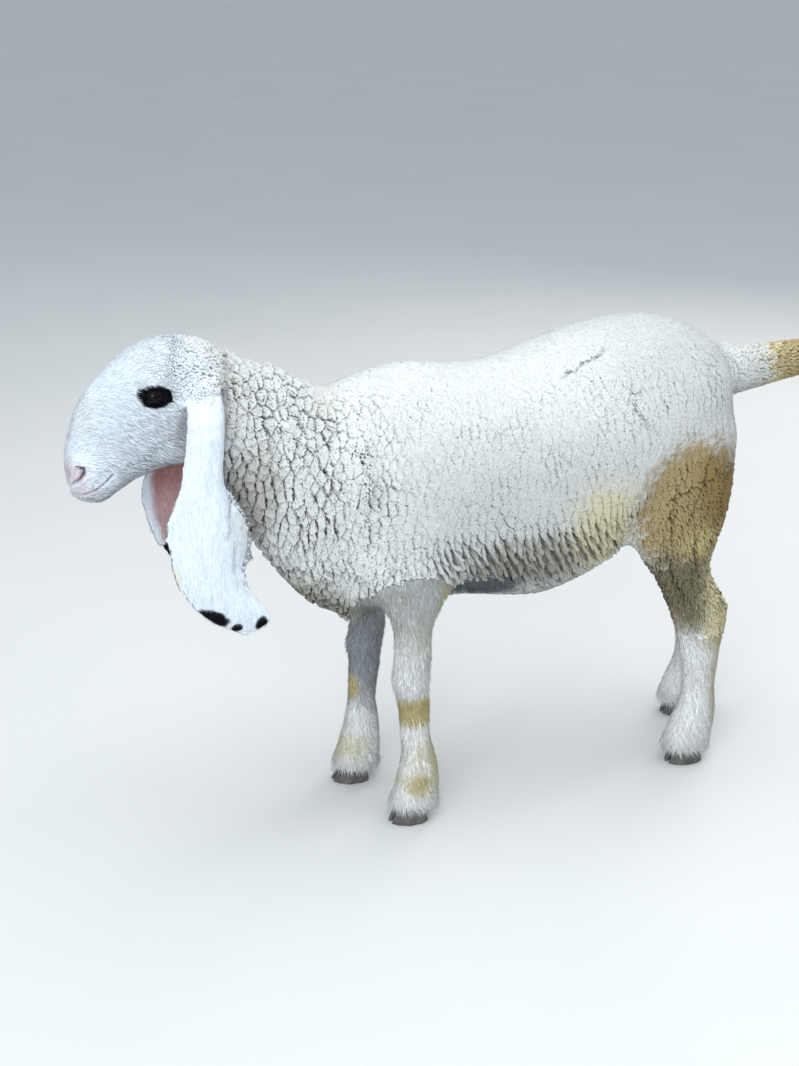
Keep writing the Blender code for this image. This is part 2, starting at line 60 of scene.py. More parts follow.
LEFT, RIGHT = -1, 1
SIDES = ((LEFT, "left"), (RIGHT, "right"))
FLESH = [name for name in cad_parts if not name.startswith(("claw_", "eye_"))]

EYE_LOW, EYE_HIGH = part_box("eye_left")
EYE = (EYE_LOW + EYE_HIGH) / 2
EYE_RADIUS = (EYE_HIGH.z - EYE_LOW.z) / 2
GAZE = (-0.30, 0.95, 0.05)
POLL_X, POLL_Z = -0.462, 0.722

Array = np.ndarray
Triple = tuple[float, float, float]
Socket = bpy.types.NodeSocket


# ------------------------------------------------------------------------------------------ small tools


def smooth_step(low: float, high: float, values: Array) -> Array:
    """Rises smoothly from 0 at low to 1 at high, or falls where high is below low."""
    share = np.clip((values - low) / (high - low), 0.0, 1.0)
    return share * share * (3.0 - 2.0 * share)


def unit(vectors: Array) -> Array:
    """The rows with length 1."""
    return vectors / np.maximum(np.linalg.norm(vectors, axis=-1, keepdims=True), 1e-9)


def dots(first: Array, second: Array) -> Array:
    """The dot product of each pair of rows."""
    return np.einsum("ij,ij->i", first, second)


def bell(offset: Array, width: float | Array) -> Array:
    """1 where the offset is 0, falling to almost nothing two widths away."""
    return np.exp(-((offset / width) ** 2))


def clouds(points: Array, size: float, shift: float) -> Array:
    """Smooth noise vectors, about -1 to 1, whose bumps are about size across."""
    offset = Vector((shift, shift * 1.7, shift * 0.6))
    return np.array([noise.noise_vector(Vector(p) / size + offset) for p in points], dtype=float)


def link(name: str, mesh: bpy.types.Mesh) -> bpy.types.Object:
    """A new object at the origin that shows the mesh."""
    made = bpy.data.objects.new(name, mesh)
    bpy.context.scene.collection.objects.link(made)
    return made


def settled(obj: bpy.types.Object) -> bpy.types.Mesh:
    """A plain mesh of the object as its modifiers make it. The object itself is removed."""
    mesh = bpy.data.meshes.new_from_object(obj.evaluated_get(bpy.context.evaluated_depsgraph_get()))
    bpy.data.objects.remove(obj)
    return mesh


def opened(mesh: bpy.types.Mesh) -> bmesh.types.BMesh:
    """The mesh as a shape that can be edited."""
    shape = bmesh.new()
    shape.from_mesh(mesh)
    return shape


def poured(shape: bmesh.types.BMesh, mesh: bpy.types.Mesh | str) -> bpy.types.Mesh:
    """The mesh, or a new one of that name, with the shape written into it. The shape is freed."""
    made = bpy.data.meshes.new(mesh) if isinstance(mesh, str) else mesh
    shape.to_mesh(made)
    shape.free()
    return made


def gathered(layer: Sequence, field: str, width: int = 1, kind: type = np.float32) -> Array:
    """One field of all the elements of a mesh, one row for each."""
    values = np.empty(len(layer) * width, kind)
    layer.foreach_get(field, values)
    return values.reshape(-1, width) if width > 1 else values


def read(mesh: bpy.types.Mesh, name: str) -> Array:
    """A mesh attribute of numbers or of vectors, one row for each element."""
    layer = mesh.attributes[name]
    if layer.data_type == "FLOAT_VECTOR":
        return gathered(layer.data, "vector", 3).astype(float)
    return gathered(layer.data, "value").astype(float)


def write(mesh: bpy.types.Mesh, name: str, values: Array, domain: str = "POINT") -> None:
    """Stores an array as a mesh attribute: whole numbers, numbers, or vectors of three."""
    whole = np.issubdtype(values.dtype, np.integer)
    kind = "FLOAT_VECTOR" if values.ndim == 2 else ("INT" if whole else "FLOAT")
    layer = mesh.attributes.get(name) or mesh.attributes.new(name, kind, domain)
    field = "vector" if values.ndim == 2 else "value"
    layer.data.foreach_set(field, np.ascontiguousarray(values, np.int32 if whole else np.float32).ravel())


def coordinates(mesh: bpy.types.Mesh) -> Array:
    """The places of the mesh's vertices."""
    return gathered(mesh.vertices, "co", 3).astype(float)


def move_to(mesh: bpy.types.Mesh, places: Array) -> None:
    """Moves the mesh's vertices to the places."""
    mesh.vertices.foreach_set("co", places.astype(np.float32).ravel())
    mesh.update()


def normals_of(mesh: bpy.types.Mesh) -> Array:
    """The normal at each of the mesh's vertices."""
    return gathered(mesh.vertex_normals, "vector", 3).astype(float)


def surface_of(mesh: bpy.types.Mesh, places: Array) -> bvhtree.BVHTree:
    """A tree that finds points on the mesh, with its vertices at the places."""
    polygons = [list(p.vertices) for p in mesh.polygons]
    return bvhtree.BVHTree.FromPolygons([Vector(p) for p in places], polygons)


def eye_centre(side: int) -> Triple:
    """The middle of the eyeball on one side."""
    return EYE.x, -EYE.y * side, EYE.z


def gaze(side: int) -> Triple:
    """The way in which the eye on one side looks."""
    return GAZE[0], GAZE[1] * side, GAZE[2]


def from_poll(x: Array, z: Array) -> Array:
    """How far places are from the middle of the poll, seen from the side."""
    return np.hypot((x - POLL_X) / 1.15, z - POLL_Z)


@dataclass
class Web:
    """The edges of a mesh, for averaging values over it.

    Args:
        mesh: the mesh.
    """

    mesh: bpy.types.Mesh

    def __post_init__(self) -> None:
        """Reads the two ends of each edge."""
        self.count = len(self.mesh.vertices)
        self.ends = gathered(self.mesh.edges, "vertices", 2, np.int32)

    def mean(self, values: Array) -> Array:
        """The average of each vertex's neighbours."""
        near, far = self.ends.T
        degree = np.maximum(np.bincount(self.ends.ravel(), minlength=self.count), 1)
        columns = values.reshape(self.count, -1).T
        total = [
            np.bincount(near, column[far], self.count) + np.bincount(far, column[near], self.count)
            for column in columns
        ]
        return (np.array(total) / degree).T.reshape(values.shape)

    def blur(self, values: Array, passes: int) -> Array:
        """The values blurred over the mesh."""
        for _ in range(passes):
            values = 0.5 * values + 0.5 * self.mean(values)
        return values

    def settle(self, values: Array, passes: int, strength: Array) -> Array:
        """The values smoothed plainly, by strength at each vertex."""
        for _ in range(passes):
            values = values + (0.5 * strength)[:, None] * (self.mean(values) - values)
        return values

    def fair(self, values: Array, passes: int, strength: Array) -> Array:
        """The values smoothed without shrinking (Taubin), by strength at each vertex."""
        for _ in range(passes):
            values = values + 0.55 * strength[:, None] * (self.mean(values) - values)
            values = values - 0.565 * strength[:, None] * (self.mean(values) - values)
        return values

    def biggest(self) -> Array:
        """Which vertices belong to the biggest connected part."""
        label = np.arange(self.count)
        near, far = self.ends.T
        while True:
            before = label.copy()
            np.minimum.at(label, near, before[far])
            np.minimum.at(label, far, before[near])
            label = label[label]
            if np.array_equal(label, before):
                break
        return label == np.bincount(label).argmax()


# ------------------------------------------------------------------------------------------ node trees


def arithmetic(operation: str, swapped: bool = False) -> Callable[["Value", object], "Value"]:
    """A method of Value that adds a Math node.

    Args:
        operation: what the node does.
        swapped: True where the Value is the second of the two.

    Returns:
        The method.
    """

    def apply(value: "Value", other: object) -> "Value":
        """The node's result."""
        first, second = (other, value) if swapped else (value, other)
        return value.graph.value("ShaderNodeMath", {"operation": operation}, {0: first, 1: second})

    return apply


@dataclass
class Value:
    """A number on a node's socket. Arithmetic on it adds Math nodes to its graph.

    Args:
        graph: the graph that its node belongs to.
        socket: an output socket that gives a number.
    """

    graph: "Graph"
    socket: Socket

    __add__ = arithmetic("ADD")
    __radd__ = arithmetic("ADD", swapped=True)
    __sub__ = arithmetic("SUBTRACT")
    __rsub__ = arithmetic("SUBTRACT", swapped=True)
    __mul__ = arithmetic("MULTIPLY")
    __truediv__ = arithmetic("DIVIDE")
    __rtruediv__ = arithmetic("DIVIDE", swapped=True)
    __pow__ = arithmetic("POWER")
    most = arithmetic("MAXIMUM")

    def step(self, low: float, high: float) -> "Value":
        """Rises smoothly from 0 at low to 1 at high, or falls where high is below low."""
        low, high, start, end = (low, high, 0.0, 1.0) if low < high else (high, low, 1.0, 0.0)
        return self.graph.value(
            "ShaderNodeMapRange",
            {"interpolation_type": "SMOOTHSTEP"},
            {"Value": self, "From Min": low, "From Max": high, "To Min": start, "To Max": end},
        )


@dataclass
class Graph:
    """A node tree that is written from Python.

    Args:
        tree: the tree.
    """

    tree: bpy.types.NodeTree

    def add(self, kind: str, settings: dict | None = None, sockets: dict | None = None) -> bpy.types.Node:
        """Adds any node.

        Args:
            kind: the node's type.
            settings: its properties, which are set first.
            sockets: values, sockets or Values for its inputs, by name, identifier or place.

        Returns:
            The node.
        """
        node = self.tree.nodes.new(kind)
        for name, setting in (settings or {}).items():
            setattr(node, name, setting)
        self.wire(node, sockets or {})
        return node

    def wire(self, node: bpy.types.Node, sockets: dict[str | int, object]) -> None:
        """Sets a node's inputs to constants, or links them to sockets or Values."""
        for name, source in sockets.items():
            target = next((s for s in node.inputs if s.identifier == name), None) or node.inputs[name]
            source = source.socket if isinstance(source, Value) else source
            if isinstance(source, Socket):
                self.tree.links.new(source, target)
            else:
                target.default_value = source

    def out(self, kind: str, settings: dict | None = None, sockets: dict | None = None) -> Socket:
        """Adds a node and gives its first shown output."""
        return next(s for s in self.add(kind, settings, sockets).outputs if s.enabled)

    def value(self, kind: str, settings: dict | None = None, sockets: dict | None = None) -> Value:
        """Adds a node and gives its first shown output as a Value."""
        return Value(self, self.out(kind, settings, sockets))

    def vector(self, operation: str, *sources: object) -> Socket:
        """A Vector Math node's vector."""
        return self.out("ShaderNodeVectorMath", {"operation": operation}, dict(enumerate(sources)))

    def scaled(self, vector: object, factor: object) -> Socket:
        """The vector times a number."""
        return self.out("ShaderNodeVectorMath", {"operation": "SCALE"}, {0: vector, "Scale": factor})

    def measure(self, operation: str, *sources: object) -> Value:
        """A Vector Math node's number, such as a length or a dot product."""
        return Value(self, self.vector(operation, *sources))

    def drawn_out(self, place: object, way: Triple, share: float) -> Socket:
        """The place less a share of its reach along a way, which stretches a pattern along that way."""
        along = self.scaled(way, self.measure("DOT_PRODUCT", place, way) * share)
        return self.vector("SUBTRACT", place, along)

    def mix(self, factor: object, first: object, second: object, blend: str = "MIX") -> Socket:
        """Two colours mixed by a factor. Each is a socket, or its red, green and blue."""
        first, second = ((*c, 1.0) if isinstance(c, tuple) else c for c in (first, second))
        settings = {"data_type": "RGBA", "blend_type": blend}
        return self.out(
            "ShaderNodeMix", settings, {"Factor_Float": factor, "A_Color": first, "B_Color": second}
        )

    def grain(self, place: object, size: float, detail: float = 2.0, roughness: float = 0.5) -> Value:
        """Noise from 0 to 1 with bumps about size across."""
        sockets = {"Vector": place, "Scale": 1.0 / size, "Detail": detail, "Roughness": roughness}
        return self.value("ShaderNodeTexNoise", None, sockets)

    def place(self) -> Socket:
        """Where each point lies on the object."""
        return self.add("ShaderNodeTexCoord").outputs["Object"]

    def attribute(self, name: str) -> Value:
        """A named attribute of the mesh, as a number."""
        return Value(self, self.add("ShaderNodeAttribute", {"attribute_name": name}).outputs["Fac"])

    def arrow(self, name: str) -> Socket:
        """A named attribute of the mesh, as a vector."""
        return self.add("ShaderNodeAttribute", {"attribute_name": name}).outputs["Vector"]

    def grey(self, level: Value) -> Socket:
        """A grey of that level, as a vector."""
        return self.out("ShaderNodeCombineXYZ", None, {"X": level, "Y": level, "Z": level})

    def bump(self, height: Value, strength: float, distance: float) -> Socket:
        """The normal with a relief on it."""
        sockets = {"Strength": strength, "Distance": distance, "Height": height}
        return self.out("ShaderNodeBump", None, sockets)


@dataclass
class Recipe:
    """A Geometry Nodes tree that is being written, with named inputs.

    Args:
        name: the tree's name.
        inputs: each input's name, socket type and default value.
    """

    name: str
    inputs: Sequence[tuple[str, str, object]]

    def __post_init__(self) -> None:
        """Makes the tree with its inputs and its one output."""
        self.tree = bpy.data.node_groups.new(self.name, "GeometryNodeTree")
        self.tree.interface.new_socket("Geometry", in_out="INPUT", socket_type="NodeSocketGeometry")
        self.identifiers = {}
        for name, kind, value in self.inputs:
            made = self.tree.interface.new_socket(name, in_out="INPUT", socket_type=kind)
            if value is not None:
                made.default_value = value
            self.identifiers[name] = made.identifier
        self.tree.interface.new_socket("Geometry", in_out="OUTPUT", socket_type="NodeSocketGeometry")
        self.graph = Graph(self.tree)
        self.given = self.graph.add("NodeGroupInput").outputs

    def finish(self, geometry: Socket) -> None:
        """Gives the geometry as the tree's result."""
        self.graph.add("NodeGroupOutput", None, {0: geometry})

    def stored(self, name: str, kind: str = "FLOAT") -> Socket:
        """The values of a named attribute."""
        return self.graph.out("GeometryNodeInputNamedAttribute", {"data_type": kind}, {"Name": name})

    def arrow(self, name: str) -> Socket:
        """The values of a named attribute that holds vectors."""
        return self.stored(name, "FLOAT_VECTOR")

    def store(self, geometry: Socket, name: str, value: object, kind: str, domain: str) -> Socket:
        """The geometry with values kept under a name."""
        settings = {"data_type": kind, "domain": domain}
        sockets = {"Geometry": geometry, "Name": name, "Value": value}
        return self.graph.out("GeometryNodeStoreNamedAttribute", settings, sockets)

    def applied(self, mesh: bpy.types.Mesh, values: dict[str, object]) -> bpy.types.Mesh:
        """What the tree makes of a mesh.

        Args:
            mesh: the mesh that goes in.
            values: the values of its named inputs.

        Returns:
            The result as a plain mesh.
        """
        carrier = link(f"carrier_{self.name}", mesh)
        modifier = carrier.modifiers.new(self.name, "NODES")
        modifier.node_group = self.tree
        for name, value in values.items():
            modifier[self.identifiers[name]] = value
        return settled(carrier)


# ------------------------------------------------------------------------------------------ finishes


@dataclass(frozen=True)
class Patch:
    """A soft-edged coloured place on the body, an ellipsoid.

    Args:
        colour: its colour.
        centre: its middle.
        radii: how far it reaches along x, y and z.
        turn: how far it is turned about y, in degrees.
        strength: how much of its colour shows in its middle.
        edge: how far inside its outline it starts to fade, from 0 to 1.
        ragged: how far noise moves its outline.
    """

    colour: Triple
    centre: Triple
    radii: Triple
    turn: float = 0.0
    strength: float = 1.0
    edge: float = 0.45
    ragged: float = 0.35


OCHRE = (0.27, 0.185, 0.075)
OLIVE = (0.36, 0.265, 0.115)
PALE_OCHRE = (0.58, 0.49, 0.235)
STRAW = (0.66, 0.59, 0.36)
BROWN_GREY = (0.175, 0.154, 0.100)
WARM_GREY = (0.38, 0.36, 0.32)
PALE_GREY = (0.37, 0.385, 0.385)
# Painted shade: a blue-grey laid where the body is in shadow.
SHADE_BLUE_GREY = (0.24, 0.26, 0.285)
DARK_GREY = (0.105, 0.11, 0.125)
BLACK = (0.0025, 0.0028, 0.0055)
PINK = (0.62, 0.40, 0.38)
RED_BROWN = (0.25, 0.06, 0.05)
MAUVE = (0.42, 0.27, 0.27)
LIP_PINK = (0.60, 0.42, 0.44)
WOOL_WHITE = (0.640, 0.647, 0.628)
LEG_WHITE = (0.93, 0.93, 0.915)
HAIR_WHITE = (0.685, 0.735, 0.795)
# Painted light: a brighter white for the muzzle, which the lamps light too weakly.
MUZZLE_PAINTED_LIGHT = (0.83, 0.89, 0.97)
CREAM = (0.60, 0.58, 0.53)
HAIR_SHADE = (0.46, 0.49, 0.54)
# Painted shade inside furrows.
FURROW_SHADE = (0.012, 0.008, 0.009)

FACE_LIE = (0.93, 0.0, -0.36)
UP = (0.0, 0.0, 1.0)
WIDE = 1.0


@dataclass(frozen=True)
class Markings:
    """The colours of the whole body, the same on skin and coat, with a few patches of painted shade and one
    of painted light.

    Args:
        stains_and_painted_light: the places where the white is stained, grey or pink, and the patches of
            painted shade and painted light, in the order in which they are painted.
        ink: the black places.
    """

    stains_and_painted_light: tuple[Patch, ...]
    ink: tuple[Patch, ...]

    def mask(self, graph: Graph, place: object, rough: Value, patch: Patch) -> Value:
        """How much of a patch's colour shows at a place, from 0 to 1."""
        sockets = {
            "Vector": place,
            "Location": patch.centre,
            "Rotation": (0.0, math.radians(patch.turn), 0.0),
            "Scale": patch.radii,
        }
        inside = graph.out("ShaderNodeMapping", {"vector_type": "TEXTURE"}, sockets)
        distance = graph.measure("LENGTH", inside) + (rough - 0.5) * (patch.ragged * 2.0)
        return distance.step(1.0, patch.edge) * patch.strength

    def colour(self, graph: Graph, place: object) -> Socket:
        """The colour at a place on the body.

        Args:
            graph: the graph to write to. Its mesh says where the inner faces of the ears are.
            place: the place, as a vector socket.

        Returns:
            A colour socket.
        """
        axes = graph.add("ShaderNodeSeparateXYZ", None, {"Vector": place}).outputs
        x, z = Value(graph, axes["X"]), Value(graph, axes["Z"])
        fine = graph.grain(place, 0.012, 3.0, 0.65)
        broad = graph.grain(place, 0.075)
        base = graph.mix((x + z * 0.22).step(-0.288, -0.328), WOOL_WHITE, HAIR_WHITE)
        # The lower legs turn whiter: partly their whiter hair, partly painted light that offsets the shade
        # under the body.
        base = graph.mix(z.step(0.37, 0.27), base, LEG_WHITE)
        base = graph.mix(broad.step(0.40, 0.75) * 0.30, base, CREAM)
        # Stains, and the patches of painted shade and painted light.
        for patch in self.stains_and_painted_light:
            base = graph.mix(self.mask(graph, place, fine, patch), base, patch.colour)
        flush = graph.mix(z.step(0.47, 0.60), MAUVE, RED_BROWN)
        flush = graph.mix(fine.step(0.45, 0.8) * 0.5, flush, PINK)
        base = graph.mix(graph.attribute("inner"), base, flush)
        dark = reduce(Value.most, [self.mask(graph, place, fine, patch) for patch in self.ink])
        return graph.mix(dark, base, BLACK)


def both(patch: Patch) -> tuple[Patch, Patch]:
    """The patch and its mirror image on the other side."""
    x, y, z = patch.centre
    return patch, replace(patch, centre=(x, -y, z))


MARKINGS = Markings(
    stains_and_painted_light=(
        Patch(PALE_GREY, (-0.030, 0.0, 0.520), (0.340, WIDE, 0.130), strength=0.44, edge=0.1),
        Patch(PALE_GREY, (0.240, 0.0, 0.690), (0.200, WIDE, 0.090), strength=0.34, edge=0.0),
        # Painted shade on the throat behind the ear.
        Patch(WARM_GREY, (-0.415, 0.0, 0.530), (0.060, 0.16, 0.120), turn=12, strength=0.66),
        Patch(BROWN_GREY, (-0.290, 0.0, 0.365), (0.125, 0.16, 0.048), turn=28, strength=0.72, edge=0.2),
        Patch(WARM_GREY, (0.030, 0.0, 0.300), (0.250, 0.30, 0.085), turn=-8, strength=0.75),
        Patch(WARM_GREY, (-0.010, 0.0, 0.412), (0.150, WIDE, 0.056), turn=-5, strength=0.96, edge=0.4),
        Patch(STRAW, (0.115, 0.0, 0.450), (0.100, WIDE, 0.100), turn=-35, strength=0.80, edge=0.2),
        Patch(OLIVE, (0.270, 0.0, 0.455), (0.110, WIDE, 0.125), turn=-28, strength=0.92, edge=0.60),
        Patch(OCHRE, (0.325, 0.0, 0.480), (0.075, WIDE, 0.110), turn=-18, strength=0.90, edge=0.25),
        Patch(OLIVE, (0.290, -0.08, 0.318), (0.085, 0.075, 0.092), strength=0.80, edge=0.5),
        Patch(OLIVE, (0.345, 0.08, 0.318), (0.085, 0.075, 0.088), strength=0.65, edge=0.4),
        Patch(BROWN_GREY, (0.278, -0.08, 0.326), (0.106, 0.075, 0.060), turn=54, strength=0.98, edge=0.38),
        Patch(BROWN_GREY, (0.298, -0.08, 0.262), (0.034, 0.075, 0.054), strength=0.75, edge=0.2),
        Patch(BROWN_GREY, (0.335, 0.08, 0.325), (0.095, 0.075, 0.048), turn=50, strength=0.88, edge=0.45),
        Patch(PALE_OCHRE, (0.292, -0.10, 0.400), (0.062, 0.08, 0.036), strength=0.75, edge=0.1),
        Patch(STRAW, (0.345, -0.08, 0.310), (0.058, 0.08, 0.085), strength=0.95, edge=0.4),
        Patch(PALE_OCHRE, (0.345, -0.09, 0.238), (0.048, 0.08, 0.060), strength=0.75, edge=0.4),
        Patch(STRAW, (0.410, 0.09, 0.245), (0.048, 0.08, 0.070), strength=0.90, edge=0.4),
        Patch(STRAW, (0.358, -0.09, 0.140), (0.034, 0.08, 0.115), strength=0.70, edge=0.3),
        Patch(STRAW, (0.444, 0.09, 0.140), (0.034, 0.08, 0.110), strength=0.90, edge=0.4),
        Patch(PALE_OCHRE, (-0.175, -0.09, 0.188), (0.060, 0.08, 0.032), strength=0.95, edge=0.55),
        Patch(OLIVE, (-0.198, -0.09, 0.190), (0.024, 0.08, 0.026), strength=0.22, edge=0.2),
        Patch(PALE_OCHRE, (-0.168, -0.09, 0.112), (0.036, 0.08, 0.055), strength=0.40, edge=0.1),
        Patch(STRAW, (-0.160, -0.09, 0.318), (0.055, 0.06, 0.045), strength=0.35, edge=0.1),
        # Painted shade on the far foreleg, which stands in the body's shadow.
        Patch(SHADE_BLUE_GREY, (-0.183, 0.09, 0.225), (0.060, 0.06, 0.150), strength=0.85, edge=0.50),
        Patch(PALE_OCHRE, (-0.216, 0.075, 0.165), (0.018, 0.05, 0.030), strength=0.95, edge=0.4),
        Patch(PALE_OCHRE, (-0.176, -0.09, 0.068), (0.032, 0.08, 0.028), strength=0.90, edge=0.2),
        Patch(STRAW, (-0.148, -0.09, 0.110), (0.018, 0.06, 0.095), strength=0.7, edge=0.3),
        Patch(STRAW, (-0.215, 0.09, 0.064), (0.040, 0.08, 0.034), strength=0.65, edge=0.3),
        *both(Patch(STRAW, (-0.137, 0.10, 0.375), (0.016, 0.05, 0.038), strength=0.85, edge=0.3)),
        # Behind the elbows: bare grey skin, darkened further by painted shade in the hollow between leg and
        # body.
        *both(Patch(DARK_GREY, (-0.062, 0.10, 0.366), (0.076, 0.10, 0.036), turn=4, strength=0.92, edge=0.5)),
        *both(Patch(PINK, (0.165, 0.09, 0.372), (0.024, 0.06, 0.024), strength=0.35, edge=0.4)),
        Patch(STRAW, (0.640, 0.0, 0.610), (0.200, 0.20, 0.200), strength=0.95, edge=0.84, ragged=0.10),
        Patch(OLIVE, (0.640, 0.0, 0.610), (0.200, 0.20, 0.200), strength=0.72, edge=0.75),
        # Painted light: the muzzle made whiter than the rest of the face.
        Patch(MUZZLE_PAINTED_LIGHT, (-0.625, 0.0, 0.600), (0.060, 0.10, 0.055), strength=0.80, edge=0.2),
        *both(Patch(LIP_PINK, (-0.648, 0.018, 0.592), (0.022, 0.030, 0.028), strength=0.55, edge=0.3)),
        *both(Patch(LIP_PINK, (-0.635, 0.018, 0.566), (0.030, 0.030, 0.010), strength=0.45, edge=0.3)),
        # Painted shade on the jaw beside each ear's root.
        *both(Patch(SHADE_BLUE_GREY, (-0.507, 0.050, 0.645), (0.014, 0.03, 0.045), strength=0.50, edge=0.1)),
        # Painted shade along the crease where the left ear's rear flap folds off its ridge.
        Patch(
            SHADE_BLUE_GREY, (-0.458, -0.10, 0.520), (0.0075, 0.05, 0.085), -7, strength=0.24, edge=0.0, ragged=0.2
        ),
        Patch(STRAW, (-0.540, -0.10, 0.450), (0.012, 0.03, 0.030), strength=0.55, edge=0.2),
    ),
    ink=(
        *both(Patch(BLACK, (-0.543, 0.056, 0.698), (0.025, 0.022, 0.0175), turn=6, edge=0.86, ragged=0.22)),
        *both(Patch(BLACK, (-0.5600, 0.0520, 0.7010), (0.0085, 0.016, 0.0105), edge=0.80, ragged=0.16)),
        Patch(BLACK, (-0.4900, -0.10, 0.3880), (0.0290, 0.05, 0.0150), turn=24, edge=0.72, ragged=0.22),
        Patch(BLACK, (-0.4555, -0.10, 0.3690), (0.0100, 0.05, 0.0085), edge=0.65, ragged=0.24),
        Patch(BLACK, (-0.4195, -0.10, 0.3700), (0.0120, 0.05, 0.0115), turn=-30, edge=0.65, ragged=0.24),
        Patch(BLACK, (-0.4900, 0.10, 0.4150), (0.0200, 0.06, 0.0230), turn=30, edge=0.80, ragged=0.20),
        Patch(BLACK, (-0.4250, 0.11, 0.3650), (0.0200, 0.06, 0.0130), turn=20, edge=0.70, ragged=0.24),
    ),
)


def new_material(name: str) -> tuple[bpy.types.Material, Graph, bpy.types.Node]:
    """A material with an empty graph, its Principled shader already on the output."""
    made = bpy.data.materials.new(name)
    made.use_nodes = True
    made.node_tree.nodes.clear()
    graph = Graph(made.node_tree)
    shader = graph.add("ShaderNodeBsdfPrincipled")
    graph.add("ShaderNodeOutputMaterial", None, {"Surface": shader.outputs[0]})
    return made, graph, shader


@dataclass(frozen=True)
class SkinFinish:
    """The skin: the markings' colours, with painted shade at the bottom of the wool, between the strokes of
    fine hair and inside furrows, and the strokes as bump.

    Args:
        wool_shade_level: how bright the skin is at the bottom of the wool, under its painted shade.
        stroke: how wide a stroke of hair is.
        relief: how high the strokes stand.
    """

    wool_shade_level: float = 0.82
    stroke: float = 0.0013
    relief: float = 0.0016

    def build(self) -> bpy.types.Material:
        """The material."""
        made, graph, shader = new_material("skin")
        place, wool, face = graph.place(), graph.attribute("wool"), graph.attribute("face")
        strokes = self.brushed(graph, place, FACE_LIE, face) + self.brushed(graph, place, UP, 1.0 - face)
        # Painted shade: the skin at the bottom of the wool is darkened.
        dim = 1.0 - wool.step(0.45, 0.95) * (1.0 - self.wool_shade_level)
        colour = graph.mix(1.0, MARKINGS.colour(graph, place), graph.grey(dim), "MULTIPLY")
        colour = graph.mix(strokes.step(0.56, 0.36) * 0.34, colour, HAIR_SHADE, "MULTIPLY")
        # Painted shade inside the furrows of the nose and mouth, and round the eyes' openings.
        colour = graph.mix(graph.attribute("crease"), colour, FURROW_SHADE)
        finish = {"Base Color": colour, "Roughness": 0.72 + wool * 0.2, "Specular IOR Level": 0.08}
        graph.wire(shader, finish | {"Normal": graph.bump(strokes, 0.9, self.relief)})
        return made

    def brushed(self, graph: Graph, place: object, way: Triple, share: Value) -> Value:
        """Strokes of fine hair that run one way.

        Args:
            graph: the graph to write to.
            place: where it is.
            way: the way the strokes run.
            share: how far these strokes count here.

        Returns:
            The strokes' height, from 0 to share.
        """
        drawn = graph.drawn_out(place, way, 0.80)
        return (graph.grain(drawn, self.stroke) * 0.5 + graph.grain(drawn, self.stroke * 3.0) * 0.5) * share


@dataclass(frozen=True)
class CoatFinish:
    """Locks and hairs: the markings' colours at each root, with painted shade down in the coat, in its cracks
    and between fine strands.

    Args:
        name: the material's name.
        root_shade_level: how bright a lock is at its root, under the painted shade down in the coat.
        roughness: the roughness.
        line: how dark the painted shade in the cracks between staples is.
        line_width: half the width of the deepest crack, and of the faintest.
        strand: how dark the painted shade in the gaps between fine strands is.
    """

    name: str
    root_shade_level: float
    roughness: float
    line: float = 0.82
    line_width: tuple[float, float] = (0.0013, 0.0005)
    strand: float = 0.16

    def build(self) -> bpy.types.Material:
        """The material."""
        made, graph, shader = new_material(self.name)
        root, plush = graph.arrow("root"), graph.attribute("plush")
        # Painted shade: each lock darkens towards its root, down in the coat, and more where it lies in a
        # crack.
        light = graph.attribute("along").step(0.0, 0.80) * (1.0 - self.root_shade_level) + self.root_shade_level
        level = light * graph.attribute("tone") * (1.0 - graph.attribute("crack"))
        level = level * (1.0 - self.cracks(graph, root)) * self.strands(graph)
        colour = graph.mix(1.0, MARKINGS.colour(graph, root), graph.grey(level), "MULTIPLY")
        side = graph.scaled(graph.add("ShaderNodeNewGeometry").outputs["Normal"], 1.0 - plush)
        blended = graph.vector("ADD", side, graph.scaled(graph.arrow("out"), plush))
        finish = {"Base Color": colour, "Roughness": self.roughness, "Specular IOR Level": 0.05}
        graph.wire(shader, finish | {"Normal": graph.vector("NORMALIZE", blended)})
        return made

    def strands(self, graph: Graph) -> Value:
        """Painted shade in the gaps between fine strands that run down the wool, as a factor of its
        brightness.
        """
        drawn = graph.drawn_out(graph.place(), (0.42, 0.0, -0.91), 0.78)
        return 1.0 - graph.grain(drawn, 0.0019, 3.0, 0.6).step(0.50, 0.72) * self.strand

    def cracks(self, graph: Graph, root: object) -> Value:
        """How much painted shade a place gets for lying in a crack, which is drawn across all locks that
        reach into it.
        """
        place, deep = graph.place(), graph.attribute("deep")
        nearer = graph.measure("DOT_PRODUCT", graph.vector("SUBTRACT", place, root), graph.arrow("border"))
        wobble = (graph.grain(place, 0.005) - 0.5) * 0.0018
        wide, fine = self.line_width
        across = (graph.attribute("gap") - nearer + wobble) / (deep * (wide - fine) + fine)
        return (across * across).step(1.0, 0.0) * deep * self.line


